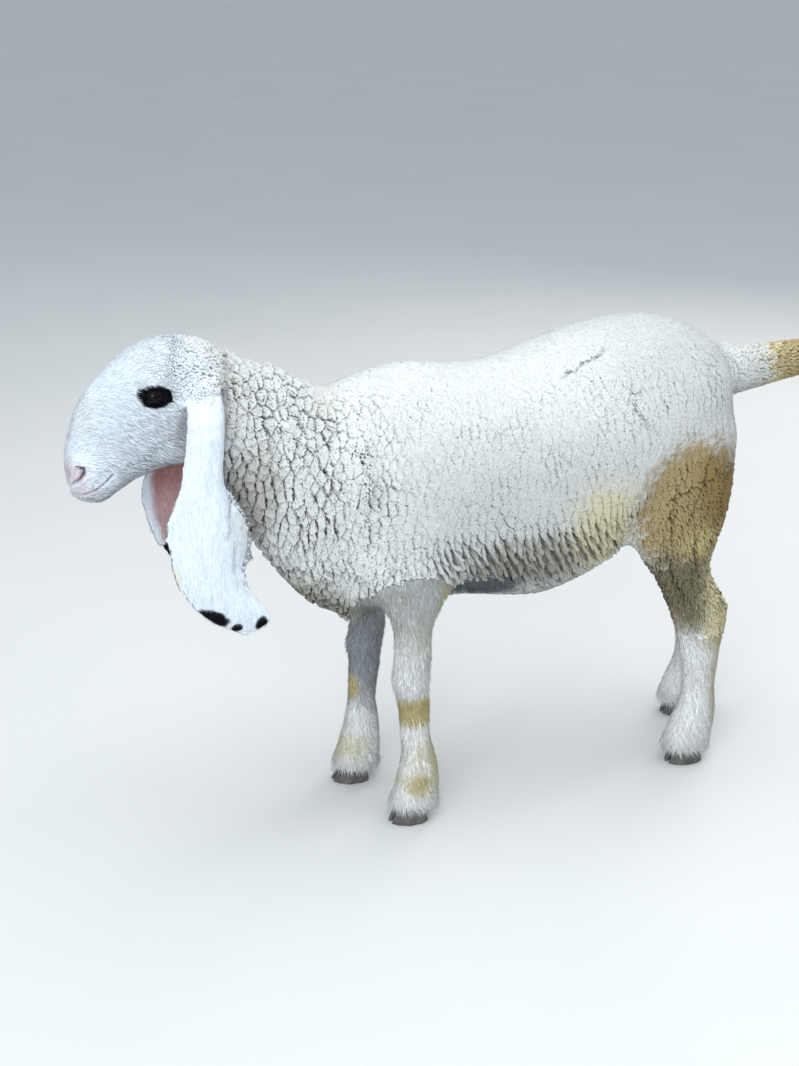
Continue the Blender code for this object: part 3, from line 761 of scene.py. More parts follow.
@dataclass(frozen=True)
class EyeFinish:
    """The eye: a dark brown iris with a long pupil, under a wet gloss.

    Args:
        pupil: half the pupil's length and half its height.
        iris: how far out the iris starts to end, and ends.
    """

    pupil: tuple[float, float] = (0.0052, 0.0021)
    iris: tuple[float, float] = (0.0085, 0.0100)

    def build(self, centre: Vector, outward: Vector) -> bpy.types.Material:
        """The material of one eye.

        Args:
            centre: the eyeball's middle.
            outward: the way it looks.

        Returns:
            The material.
        """
        made, graph, shader = new_material("eyeball")
        offset = graph.vector("SUBTRACT", graph.place(), tuple(centre))
        ahead = graph.measure("DOT_PRODUCT", offset, tuple(outward))
        aside = graph.vector("SUBTRACT", offset, graph.scaled(tuple(outward), ahead))
        long, high = self.pupil
        sockets = {"Vector": offset, "Scale": (long, 1.0, high)}
        inside = graph.out("ShaderNodeMapping", {"vector_type": "TEXTURE"}, sockets)
        pupil = graph.measure("LENGTH", inside).step(1.1, 0.9) * ahead.step(0.0, 0.003)
        rays = graph.grain(graph.vector("NORMALIZE", offset), 0.05, 3.0)
        iris = graph.mix(rays.step(0.3, 0.7), (0.003, 0.003, 0.003), (0.008, 0.005, 0.004))
        colour = graph.mix(graph.measure("LENGTH", aside).step(*self.iris), iris, (0.004, 0.004, 0.005))
        colour = graph.mix(pupil, colour, (0.002, 0.002, 0.003))
        finish = {"Base Color": colour, "Roughness": 0.20, "Specular IOR Level": 0.04}
        graph.wire(shader, finish | {"Coat Weight": 0.15, "Coat Roughness": 0.03})
        return made


@dataclass(frozen=True)
class HornFinish:
    """Hoof horn: dark grey, with growth rings and dried mud towards the ground.

    Args:
        mud_height: how high the mud reaches.
        relief: how high the rings and streaks stand.
    """

    mud_height: float = 0.020
    relief: float = 0.0008

    def build(self) -> bpy.types.Material:
        """The material."""
        made, graph, shader = new_material("hoof_horn")
        place = graph.place()
        z = Value(graph, graph.add("ShaderNodeSeparateXYZ", None, {"Vector": place}).outputs["Z"])
        streaks = graph.grain(graph.vector("MULTIPLY", place, (1.0, 1.0, 0.08)), 0.0016, 3.0)
        rings = graph.grain(graph.vector("MULTIPLY", place, (0.12, 0.12, 1.0)), 0.0022)
        dusty = graph.grain(place, 0.006, 4.0, 0.7).step(0.42, 0.66) * z.step(self.mud_height, 0.002)
        horn = graph.mix(streaks, (0.028, 0.027, 0.028), (0.085, 0.080, 0.076))
        horn = graph.mix(rings.step(0.55, 0.75) * 0.5, horn, (0.17, 0.155, 0.135))
        colour = graph.mix(dusty * 0.45, horn, (0.25, 0.22, 0.18))
        height = rings * 0.6 + streaks * 0.3 + dusty * 0.5
        finish = {"Base Color": colour, "Roughness": 0.48 + dusty * 0.4}
        graph.wire(shader, finish | {"Normal": graph.bump(height, 0.6, self.relief)})
        return made


# ------------------------------------------------------------------------------------------ skin


class Part(IntEnum):
    """The parts into which the coat is divided, each a piece of its own."""

    FACE_LEFT = 0
    FACE_RIGHT = 1
    POLL = 2
    EAR_LEFT = 3
    EAR_RIGHT = 4
    NECK_LEFT = 5
    NECK_RIGHT = 6
    SHOULDER_LEFT = 7
    SHOULDER_RIGHT = 8
    FLANK_LEFT = 9
    FLANK_RIGHT = 10
    RUMP_LEFT = 11
    RUMP_RIGHT = 12
    THIGH_LEFT = 13
    THIGH_RIGHT = 14
    FOREARM_LEFT = 15
    FOREARM_RIGHT = 16
    FORE_SHANK_LEFT = 17
    FORE_SHANK_RIGHT = 18
    HIND_SHANK_LEFT = 19
    HIND_SHANK_RIGHT = 20
    TAIL = 21
    GASKIN_LEFT = 22
    GASKIN_RIGHT = 23


@dataclass
class Groove:
    """A furrow in the skin of the head along a path, on both sides.

    Args:
        path: the furrow's path as x and z.
        width: how wide it is at each station.
        depth: how deep it is at each station.
        rim: how high the skin rises beside it.
        dark: how dark the painted shade inside it is.
        stations: the start, a third of the way along and the end.
    """

    path: Sequence[tuple[float, float]]
    width: Triple
    depth: Triple
    rim: float
    dark: float
    stations: Triple = (0.0, 0.33, 1.0)


@dataclass
class Skin:
    """The one skin of the whole body, without seams.

    Args:
        voxel: how fine the skin is on the body.
        zoom: how much finer it is on the head and ears.
        zoom_from: the x behind which nothing is finer, and the x ahead of which all of it is.
        middle_z: the height about which the head is magnified.
        overlap: how far each solid is swollen, so that neighbours overlap where cuts part them.
        ear_swell: how far the thin ears are swollen while they are fused.
        socket: how far the filling of an eye's socket stands out past the eyeball.
        lid: how far the lids stand over the eyeballs.
        slit: half the width and half the height of the opening between the lids.
        slit_turn: how far the opening is turned, in degrees.
    """

    voxel: float = 0.0070
    zoom: float = 2.25
    zoom_from: tuple[float, float] = (-0.26, -0.37)
    middle_z: float = 0.55
    overlap: float = 0.0005
    ear_swell: float = 0.0024
    socket: float = 0.0012
    lid: float = 0.0017
    slit: tuple[float, float] = (0.0105, 0.0046)
    slit_turn: float = 14.0

    def build(self) -> bpy.types.Object:
        """Makes the skin with its values for the coat, and its material."""
        mesh = self.refined(self.fused())
        places = coordinates(mesh)
        web = Web(mesh)
        node = self.nearest_node(places)
        wool, depth = self.coat_depth(places, node, web)
        normals = normals_of(mesh)
        places = places - normals * self.inset(mesh, normals, node, depth, web)[:, None]
        places = web.fair(places, 3, np.clip(wool, 0.0, 1.0))
        move_to(mesh, places)
        places, inner = self.shaped_ears(places, normals_of(mesh), node)
        move_to(mesh, places)
        places, crease = self.carved(mesh, places)
        move_to(mesh, places)
        mesh.shade_smooth()
        write(mesh, "wool", wool)
        write(mesh, "depth", depth)
        write(mesh, "inner", web.blur(inner, 1))
        write(mesh, "crease", crease)
        write(mesh, "face", web.blur((node == "head").astype(float), 6))
        write(mesh, "lie", self.lie(places, normals_of(mesh), node, web))
        write(mesh, "part", self.parts(mesh, node), "FACE")
        mesh.materials.append(SkinFinish().build())
        skin = link("skin", mesh)
        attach(skin, "root")
        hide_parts(*FLESH)
        return skin

    def magnified(self, places: Array) -> Array:
        """Places with the head and ears magnified."""
        start, full = self.zoom_from
        run, gain = start - full, self.zoom - 1.0
        x, y, z = places.T
        scale = 1.0 + gain * np.clip((start - x) / run, 0.0, 1.0)
        ahead = np.maximum(start - x, 0.0)
        near = np.minimum(ahead, run)
        moved = near + gain * near**2 / (2 * run) + self.zoom * (ahead - near)
        x = np.where(x < start, start - moved, x)
        return np.column_stack([x, y * scale, (z - self.middle_z) * scale + self.middle_z])

    def shrunk(self, places: Array) -> Array:
        """Magnified places put back where they were."""
        start, full = self.zoom_from
        run, gain = start - full, self.zoom - 1.0
        x, y, z = places.T
        ahead = np.maximum(start - x, 0.0)
        full_ahead = run + gain * run / 2
        near = (-1.0 + np.sqrt(1.0 + 2.0 * gain * np.minimum(ahead, full_ahead) / run)) * run / gain
        ahead = near + np.maximum(ahead - full_ahead, 0.0) / self.zoom
        x = np.where(x < start, start - ahead, x)
        scale = 1.0 + gain * np.clip((start - x) / run, 0.0, 1.0)
        return np.column_stack([x, y / scale, (z - self.middle_z) / scale + self.middle_z])

    def fused(self) -> bpy.types.Mesh:
        """The solids of the flesh fused into one closed and even mesh, with the eye sockets filled."""
        shape = bmesh.new()
        for name in FLESH:
            shape.from_mesh(self.swollen(name, self.ear_swell if name.startswith("ear") else self.overlap))
        for side, _ in SIDES:
            ball = bmesh.ops.create_icosphere(shape, subdivisions=3, radius=EYE_RADIUS + self.socket)
            bmesh.ops.translate(shape, verts=ball["verts"], vec=eye_centre(side))
        mesh = poured(shape, "flesh")
        move_to(mesh, self.magnified(coordinates(mesh)))
        rough = link("flesh", mesh)
        remesh = rough.modifiers.new("fuse", "REMESH")
        remesh.mode = "VOXEL"
        remesh.voxel_size = self.voxel
        mesh = settled(rough)
        web = Web(mesh)
        move_to(mesh, self.smoothed(self.shrunk(coordinates(mesh)), web))
        shape = opened(mesh)
        inner_pockets = [v for v, kept in zip(shape.verts, web.biggest()) if not kept]
        bmesh.ops.delete(shape, geom=inner_pockets, context="VERTS")
        return poured(shape, mesh)

    @staticmethod
    def smoothed(places: Array, web: Web) -> Array:
        """The fused places without the marks of voxels and cuts, which are strongest round the ears."""
        ahead = smooth_step(-0.33, -0.36, places[:, 0])
        head = smooth_step(-0.384, -0.473, places[:, 0])
        ear = smooth_step(0.064, 0.069, np.abs(places[:, 1])) * ahead
        places = web.fair(places, 10, np.ones(len(places)))
        places = web.fair(places, 40, np.maximum(1.0 - head, ear))
        x, y, z = places.T
        ear_root = smooth_step(0.655, 0.690, z) * smooth_step(-0.545, -0.525, x)
        ear_root = ear_root * smooth_step(0.050, 0.060, np.abs(y))
        places = web.fair(places, 50, ear_root * smooth_step(-0.37, -0.41, x))
        flat_ear = smooth_step(0.084, 0.088, np.abs(y)) * smooth_step(0.66, 0.60, z)
        flat_ear = flat_ear * smooth_step(-0.33, -0.36, x)
        behind_cut = x + 0.276 - 0.161 * (z - 0.671)
        cut = bell(behind_cut, 0.024) * smooth_step(0.345, 0.375, z)
        nape = smooth_step(-0.462, -0.445, x) * smooth_step(-0.345, -0.365, x) * smooth_step(0.56, 0.60, z)
        nape = nape * (np.abs(y) < 0.078)
        places = web.settle(places, 16, np.maximum(cut, nape))
        return web.settle(places, 10, flat_ear)

    @staticmethod
    def swollen(name: str, amount: float) -> bpy.types.Mesh:
        """One solid's mesh with its surface moved out by the amount."""
        shape = opened(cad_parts[name].data)
        bmesh.ops.remove_doubles(shape, verts=shape.verts, dist=1e-5)
        shape.normal_update()
        for vertex in shape.verts:
            vertex.co += vertex.normal * amount
        return poured(shape, f"swollen_{name}")

    def inset(self, mesh: bpy.types.Mesh, normals: Array, node: Array, depth: Array, web: Web) -> Array:
        """How far the skin lies inside the fused shape: the coat's depth, and on the ears the swelling too.

        Args:
            mesh: the fused shape.
            normals: its normals.
            node: the solid that each place belongs to.
            depth: the coat's depth.
            web: the mesh's edges.

        Returns:
            The distance for each place. Thin edges of the ears keep their thickness.
        """
        places = coordinates(mesh)
        tree = surface_of(mesh, places)
        found = depth.copy()
        ear = np.char.startswith(node, "ear")
        for i in np.flatnonzero(ear):
            inward = Vector(-normals[i])
            thickness = tree.ray_cast(Vector(places[i]) + inward * 0.0003, inward)[3] or 0.05
            flat = float(smooth_step(0.15, 0.75, abs(normals[i, 1])) + smooth_step(0.56, 0.60, places[i, 2]))
            most = 0.0008 + (self.ear_swell + depth[i] - 0.0010) * min(flat, 1.0)
            found[i] = max(min(most, 0.5 * thickness - 0.0009), 0.0)
        return np.where(ear, web.blur(found, 2), found)

    def refined(self, mesh: bpy.types.Mesh) -> bpy.types.Mesh:
        """The mesh with smaller faces at the eyes, the nose and the lips."""
        shape = opened(mesh)
        for eye_reach, groove_reach in ((0.022, 0.012), (0.018, 0.007)):
            middles = np.array([(e.verts[0].co + e.verts[1].co) / 2 for e in shape.edges])
            middles[:, 1] = np.abs(middles[:, 1])
            near = np.linalg.norm(middles - [EYE.x, abs(EYE.y) + 0.006, EYE.z], axis=1) < eye_reach
            flat = middles * [1.0, 0.0, 1.0]
            for groove in GROOVES:
                path = [np.array((x, 0.0, z)) for x, z in groove.path]
                near |= self.to_path(flat, path)[0] < groove_reach
            chosen = [edge for edge, inside in zip(shape.edges, near) if inside]
            bmesh.ops.subdivide_edges(shape, edges=chosen, cuts=1, use_grid_fill=True, smooth=0.0)
        return poured(shape, mesh)

    @staticmethod
    def nearest_node(places: Array) -> Array:
        """The name of the solid that is nearest to each place."""
        corners, faces, owners = [], [], []
        for name in FLESH:
            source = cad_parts[name].data
            start = len(corners)
            corners.extend(v.co.copy() for v in source.vertices)
            faces.extend([start + i for i in polygon.vertices] for polygon in source.polygons)
            owners.extend([name] * len(source.polygons))
        tree = bvhtree.BVHTree.FromPolygons(corners, faces)
        return np.array([owners[tree.find_nearest(Vector(p))[2]] for p in places])

    @staticmethod
    def coat_depth(places: Array, node: Array, web: Web) -> tuple[Array, Array]:
        """How woolly each place is, from 0 to 1, and how deep its coat lies.

        Args:
            places: the places.
            node: the solid that each belongs to.
            web: the mesh's edges.

        Returns:
            Wool and depth.
        """
        lower, head = np.char.endswith(node, "_lower"), node == "head"
        ear, tail = np.char.startswith(node, "ear"), node == "tail"
        x, y, z = places.T
        poll = smooth_step(0.062, 0.030, from_poll(x, z)) * head
        root = smooth_step(0.690, 0.728, z) * ear
        deep = np.select([ear, head, lower, tail], [0.0011, 0.0015, 0.0034, 0.0095], 0.0125)
        deep = np.where(head, deep + 0.004 * poll, deep)
        deep = np.where(np.char.startswith(node, "foreleg") & ~lower, 0.0080, deep)
        gaskin = np.char.startswith(node, "hindleg") & ~lower
        deep = np.where(gaskin, 0.0045 + 0.0080 * smooth_step(0.235, 0.370, z), deep)
        deep = deep + 0.0045 * root
        wool = np.where(lower | ear | head, np.maximum(poll, root) * 0.6, 1.0)
        most = np.where(ear, 0.0013 + 0.0050 * root, 1.0)
        most_wool = np.where(ear, root, 1.0)
        for _ in range(22):
            deep = np.minimum(web.blur(deep, 1), most)
            wool = np.minimum(web.blur(wool, 1), most_wool)
        bare = np.exp(-(((x + 0.078) / 0.048) ** 2 + ((z - 0.374) / 0.020) ** 2)) * (np.abs(y) > 0.03)
        groin = np.exp(-(((x - 0.165) / 0.022) ** 2 + ((z - 0.375) / 0.022) ** 2)) * (np.abs(y) > 0.04)
        thin = np.clip(bare + groin, 0.0, 1.0)
        return wool * (1.0 - 0.85 * thin), deep * (1.0 - 0.45 * thin)

    @staticmethod
    def shaped_ears(places: Array, normals: Array, node: Array) -> tuple[Array, Array]:
        """The ears with their ridge, crease and hollow, and where their inner face is.

        Args:
            places: the skin's places.
            normals: its normals.
            node: the solid that each place belongs to.

        Returns:
            The moved places, and how far each lies on an inner face, from 0 to 1.
        """
        inner = np.zeros(len(places))
        for side, word in SIDES:
            own = node == f"ear_{word}"
            lift, inner[own] = Ear(side).relief(places[own], normals[own])
            places[own] = places[own] + normals[own] * lift[:, None]
        return places, inner

    def carved(self, mesh: bpy.types.Mesh, places: Array) -> tuple[Array, Array]:
        """The head with nostrils, mouth and eyelids.

        Args:
            mesh: the skin so far.
            places: its places.

        Returns:
            The moved places, and how much painted shade darkens each place inside a furrow.
        """
        normals = normals_of(mesh)
        tree = surface_of(mesh, places)
        near_head = np.flatnonzero(places[:, 0] < -0.46)
        dark = np.zeros(len(places))
        lift = np.zeros(len(places))
        for groove in GROOVES:
            for side, _ in SIDES:
                path = []
                for x, z in groove.path:
                    start = Vector((x, side * 0.15, z))
                    hit = tree.ray_cast(start, Vector((0.0, -side, 0.0)))[0]
                    path.append(np.array(hit or tree.find_nearest(Vector((x, side * 0.016, z)))[0]))
                distance, share = self.to_path(places[near_head], path)
                deep = np.interp(share, Groove.stations, groove.depth)
                width = np.interp(share, Groove.stations, groove.width)
                fall = bell(distance, width)
                rise = bell(distance - 2.3 * width, width)
                ends = smooth_step(0.0, 0.10, share) * smooth_step(1.0, 0.90, share)
                lift[near_head] += groove.rim * rise * ends - deep * fall
                dark[near_head] = np.maximum(dark[near_head], groove.dark * fall**1.5)
        places = places + normals * lift[:, None]
        for side, _ in SIDES:
            places, rim = self.eyelids(places, side)
            dark = np.maximum(dark, rim)
        return places, dark

    @staticmethod
    def to_path(points: Array, path: list[Array]) -> tuple[Array, Array]:
        """How far each point is from a path, and how far along the path its nearest point is."""
        best = np.full(len(points), 1e9)
        share = np.zeros(len(points))
        spans = [np.linalg.norm(b - a) for a, b in zip(path, path[1:])]
        total, done = sum(spans), 0.0
        for start, end, span in zip(path, path[1:], spans):
            along = np.clip((points - start) @ (end - start) / span**2, 0.0, 1.0)
            gap = np.linalg.norm(points - (start + along[:, None] * (end - start)), axis=1)
            closer = gap < best
            best = np.where(closer, gap, best)
            share = np.where(closer, (done + along * span) / total, share)
            done += span
        return best, share

    def eyelids(self, places: Array, side: int) -> tuple[Array, Array]:
        """Lids over one eyeball, with an almond-shaped opening.

        Args:
            places: the skin's places.
            side: LEFT or RIGHT.

        Returns:
            The moved places, and where painted shade darkens the skin round the opening.
        """
        centre = np.array(eye_centre(side))
        offset = places - centre
        reach = np.linalg.norm(offset, axis=1)
        way = offset / np.maximum(reach, 1e-9)[:, None]
        outward = np.array(gaze(side))
        turn = math.radians(self.slit_turn)
        level = np.array([math.cos(turn), 0.30 * side, math.sin(turn)])
        level = unit(level - outward * (level @ outward) / (outward @ outward))
        upright = np.cross(outward, level)
        upright = unit(upright * math.copysign(1.0, upright[2]))
        across, up = way @ level * EYE_RADIUS, way @ upright * EYE_RADIUS
        facing = way @ unit(outward)
        half_width, half_height = self.slit
        bow = np.maximum(1.0 - (across / half_width) ** 2, 0.001)
        above = np.where(up > 0, half_height * 1.1, half_height * 0.9) * bow**0.8
        outside = np.abs(up) / above
        lid = EYE_RADIUS + self.lid * (1.0 + 0.35 * bell(outside - 1.25, 0.3))
        fold = 0.0011 * bell(up - 0.0085, 0.0013) * (np.abs(across) < 0.012)
        closed = np.maximum(reach, lid) - fold
        sunk = np.minimum(reach, EYE_RADIUS - 0.0028)
        share = smooth_step(0.86, 1.06, outside)
        target = sunk + (closed - sunk) * share
        near = smooth_step(EYE_RADIUS + 0.012, EYE_RADIUS + 0.005, reach) * smooth_step(0.05, 0.35, facing)
        new_reach = reach + (target - reach) * near
        dark = near * smooth_step(1.5, 1.1, outside)
        return centre + way * new_reach[:, None], dark

    @staticmethod
    def lie(places: Array, normals: Array, node: Array, web: Web) -> Array:
        """The way the coat lies at each place, along the skin."""
        ways = {
            "head": FACE_LIE,
            "neck": (0.30, 0.0, -0.95),
            "trunk": (0.42, 0.0, -0.90),
            "tail": (1.0, 0.0, -0.25),
            "ear": (0.05, 0.0, -1.0),
            "foreleg": (0.12, 0.0, -1.0),
            "hindleg": (0.22, 0.0, -1.0),
        }
        field = np.zeros_like(places)
        for name, way in ways.items():
            field[np.char.startswith(node, name)] = unit(np.array(way))
        top = smooth_step(0.45, 0.85, normals[:, 2])
        under = smooth_step(-0.45, -0.85, normals[:, 2])
        field += (top + under)[:, None] * np.array([1.4, 0.0, 0.0])
        muzzle = smooth_step(-0.615, -0.640, places[:, 0])
        field += muzzle[:, None] * np.array([0.0, 0.0, 0.6])
        field = web.blur(field, 18)
        field -= normals * dots(field, normals)[:, None]
        return unit(field)

    @staticmethod
    def parts(mesh: bpy.types.Mesh, node: Array) -> Array:
        """The part of the coat that each face belongs to."""
        x, y, z = gathered(mesh.polygons, "center", 3).T
        first = gathered(mesh.polygons, "loop_start", 1, np.int32)
        own = node[gathered(mesh.loops, "vertex_index", 1, np.int32)[first]]
        right = (y > 0).astype(np.int32)
        trunk = np.select([x < -0.10, x < 0.105], [Part.SHOULDER_LEFT, Part.FLANK_LEFT], Part.RUMP_LEFT)
        fore, hind = np.char.startswith(own, "foreleg"), np.char.startswith(own, "hindleg")
        lower, ear = np.char.endswith(own, "_lower"), np.char.startswith(own, "ear")
        blotch = np.sin(830.0 * x + 310.0 * z) * np.sin(900.0 * z - 420.0 * x + 300.0 * y)
        poll = (own == "head") & (from_poll(x, z) + 0.007 * blotch < 0.056)
        poll |= ear & (z + 0.009 * blotch > 0.694)
        ragged = 0.012 * np.sin(310.0 * x + 90.0 * y) + 0.006 * np.sin(700.0 * y - 150.0 * z)
        gaskin = hind & ~lower & (z + ragged < 0.352) & (np.abs(y) > 0.03)
        choices = (
            (gaskin, Part.GASKIN_LEFT + right),
            (poll, Part.POLL),
            (own == "head", Part.FACE_LEFT + right),
            (ear, Part.EAR_LEFT + right),
            (own == "neck", Part.NECK_LEFT + right),
            (own == "tail", Part.TAIL),
            (fore & lower, Part.FORE_SHANK_LEFT + right),
            (hind & lower, Part.HIND_SHANK_LEFT + right),
            (fore, Part.FOREARM_LEFT + right),
            (hind, Part.THIGH_LEFT + right),
        )
        conditions, parts = zip(*choices)
        return np.select(conditions, parts, trunk + right).astype(np.int32)


GROOVES = (
    Groove(
        ((-0.6477, 0.6044), (-0.6391, 0.6011), (-0.6391, 0.5938), (-0.6448, 0.5870), (-0.6530, 0.5785)),
        width=(0.0017, 0.0034, 0.0016),
        depth=(0.0040, 0.0085, 0.0030),
        rim=0.0006,
        dark=0.98,
    ),
    Groove(
        (
            (-0.6495, 0.5630),
            (-0.6363, 0.5647),
            (-0.6230, 0.5688),
            (-0.6117, 0.5766),
            (-0.6041, 0.5830),
            (-0.5994, 0.5888),
        ),
        width=(0.0014, 0.0017, 0.0017),
        depth=(0.0034, 0.0036, 0.0030),
        rim=0.0006,
        dark=0.85,
    ),
)


@dataclass
class Ear:
    """A long hanging ear, measured from its solid.

    Args:
        side: LEFT or RIGHT.
        rim: how wide the white rim of the inner face is, as a share of the ear's width.
        crease: where the rear flap folds off the ridge, as heights and shares of the ear's width.
        levels: at how many heights the ear is measured.
    """

    side: int
    rim: float = 0.23
    crease: Sequence[tuple[float, float]] = (
        (0.400, 0.98),
        (0.445, 0.84),
        (0.500, 0.68),
        (0.543, 0.80),
        (0.580, 0.98),
    )
    levels: int = 24

    def __post_init__(self) -> None:
        """Measures the ear's front and rear edges at even heights."""
        word = dict(SIDES)[self.side]
        places = coordinates(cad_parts[f"ear_{word}"].data)
        low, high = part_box(f"ear_{word}")
        self.heights = np.linspace(low.z, high.z, self.levels)
        reach = (high.z - low.z) / (self.levels - 1)
        near = [places[np.abs(places[:, 2] - height) < reach, 0] for height in self.heights]
        self.fronts, self.rears = np.array([(x.min(), x.max()) for x in near]).T

    def across(self, places: Array) -> Array:
        """How far back each place is between the ear's front edge, 0, and its rear edge, 1."""
        front = np.interp(places[:, 2], self.heights, self.fronts)
        rear = np.interp(places[:, 2], self.heights, self.rears)
        return (places[:, 0] - front) / np.maximum(rear - front, 0.01)

    def relief(self, places: Array, normals: Array) -> tuple[Array, Array]:
        """How far the ear's skin rises at each place, and how far it is the inner face.

        Args:
            places: places on the ear.
            normals: their normals.

        Returns:
            The rise along the normal, and a number from 0 to 1.
        """
        across = self.across(places)
        z = places[:, 2]
        outer = smooth_step(0.1, 0.6, normals[:, 1] * self.side)
        facing_in = smooth_step(0.05, 0.45, -normals[:, 1] * self.side)
        behind = across - np.interp(z, *np.transpose(self.crease))
        spread = smooth_step(0.60, 0.56, z) * smooth_step(0.40, 0.45, z)
        flap = smooth_step(-0.05, 0.06, behind) * spread
        groove = bell(behind - 0.03, 0.035) * spread
        ridge = bell(behind + 0.17, 0.12) * smooth_step(0.42, 0.50, z)
        rise = outer * (0.0018 * ridge - 0.0036 * flap - 0.0009 * groove) + facing_in * 0.0034 * flap
        hollow = facing_in * bell(across - 0.45, 0.22) * 0.0008
        low, high = self.heights[0], self.heights[-1]
        inside = smooth_step(0.0, self.rim, across) * smooth_step(1.0, 1.0 - self.rim, across)
        tall = smooth_step(low + 0.045, low + 0.080, z) * smooth_step(high - 0.01, high - 0.05, z)
        return rise - hollow, facing_in * smooth_step(0.35, 0.95, inside) * tall


# ------------------------------------------------------------------------------------------ coat


@dataclass(frozen=True)
class Style:
    """How the coat of one part grows.

    Args:
        spacing: how far apart the roots are.
        width: how thick a lock or hair is.
        length: how long it is as a multiple of the coat's depth there.
        least: its least length.
        rise: how far it stands out at its root: 0 along the skin, 1 straight out.
        droop: how far its tip bends on along the lie, as a share of its length.
        scruff: how far its direction strays.
        uneven: how far lengths vary.
        cracks: how deep the cracks between staples are, from 0 to 1.
        woolly: True for a thick lock, False for a hair.
    """

    spacing: float
    width: float
    length: float
    least: float
    rise: float
    droop: float
    scruff: float
    uneven: float = 0.10
    cracks: float = 0.0
    woolly: bool = True


HAIR = Style(0.0018, 0.0013, 2.2, 0.0085, 0.20, 0.06, 0.16, woolly=False)
EAR_HAIR = Style(0.0019, 0.0012, 2.6, 0.0060, 0.12, 0.04, 0.14, woolly=False)
SHANK = Style(0.0019, 0.0017, 2.6, 0.0110, 0.28, 0.14, 0.22, woolly=False)
CURLS = Style(0.0021, 0.0072, 0.90, 0.0042, 0.70, 0.50, 0.26, 0.05, 0.45)
WOOL = Style(0.0022, 0.0104, 1.00, 0.0060, 0.94, 0.16, 0.030, 0.012, 1.0)
THIGH = Style(0.0023, 0.0082, 1.05, 0.0070, 0.76, 0.34, 0.10, 0.04, 1.0)
GASKIN = Style(0.0022, 0.0058, 0.90, 0.0068, 0.32, 0.36, 0.20, 0.10, 0.85)
FOREARM = Style(0.0021, 0.0022, 1.9, 0.0110, 0.34, 0.20, 0.24, woolly=False)
TAIL = Style(0.0023, 0.0056, 1.15, 0.0090, 0.55, 0.34, 0.16, 0.08, 0.50)
LONGEST, ROOT_SINK = 0.030, 0.0006

STYLE_OF_WORD = {
    "FACE": HAIR,
    "POLL": CURLS,
    "EAR": EAR_HAIR,
    "NECK": WOOL,
    "SHOULDER": WOOL,
    "FLANK": WOOL,
    "RUMP": WOOL,
    "THIGH": THIGH,
    "FOREARM": FOREARM,
    "FORE_SHANK": SHANK,
    "HIND_SHANK": SHANK,
    "TAIL": TAIL,
    "GASKIN": GASKIN,
}
STYLES = {part: style for word, style in STYLE_OF_WORD.items() for part in Part if part.name.startswith(word)}


@dataclass
class Roots:
    """Where the locks of one part grow, with what the skin says there."""

    at: Array
    out: Array
    lie: Array
    depth: Array
    wool: Array
    inner: Array
    crease: Array


@dataclass
class Scatter:
    """Sets roots evenly over one part of the skin.

    Args:
        skin: the skin.
        crowd: how many roots are tried for each one that is kept.
    """

    skin: bpy.types.Object
    crowd: float = 3.0

    def __post_init__(self) -> None:
        """Writes the tree that scatters them."""
        inputs = (
            ("Part", "NodeSocketInt", 0),
            ("All", "NodeSocketBool", False),
            ("Spacing", "NodeSocketFloat", 0.003),
            ("Seed", "NodeSocketInt", 0),
        )
        self.recipe = Recipe("scatter", inputs)
        graph, given = self.recipe.graph, self.recipe.given
        equal = {"data_type": "INT", "operation": "EQUAL"}
        sockets = {"A_INT": self.recipe.stored("part", "INT"), "B_INT": given["Part"]}
        same = graph.out("FunctionNodeCompare", equal, sockets)
        chosen = graph.out("FunctionNodeBooleanMath", {"operation": "OR"}, {0: same, 1: given["All"]})
        spread = graph.add(
            "GeometryNodeDistributePointsOnFaces",
            {"distribute_method": "POISSON"},
            {
                "Mesh": given["Geometry"],
                "Selection": chosen,
                "Distance Min": given["Spacing"],
                "Density Max": self.crowd / (Value(graph, given["Spacing"]) ** 2.0),
                "Seed": given["Seed"],
            },
        ).outputs
        points = self.recipe.store(spread["Points"], "out", spread["Normal"], "FLOAT_VECTOR", "POINT")
        self.recipe.finish(graph.out("GeometryNodePointsToVertices", None, {"Points": points}))

    def over(self, part: Part | None, spacing: float, seed: int) -> Roots:
        """Roots over a part, or over all of the skin where part is None."""
        values = {"Part": int(part or 0), "All": part is None, "Spacing": spacing, "Seed": seed}
        mesh = self.recipe.applied(self.skin.data, values)
        made = Roots(
            at=coordinates(mesh),
            out=unit(read(mesh, "out")),
            lie=unit(read(mesh, "lie")),
            depth=read(mesh, "depth"),
            wool=read(mesh, "wool"),
            inner=read(mesh, "inner"),
            crease=read(mesh, "crease"),
        )
        bpy.data.meshes.remove(mesh)
        return made


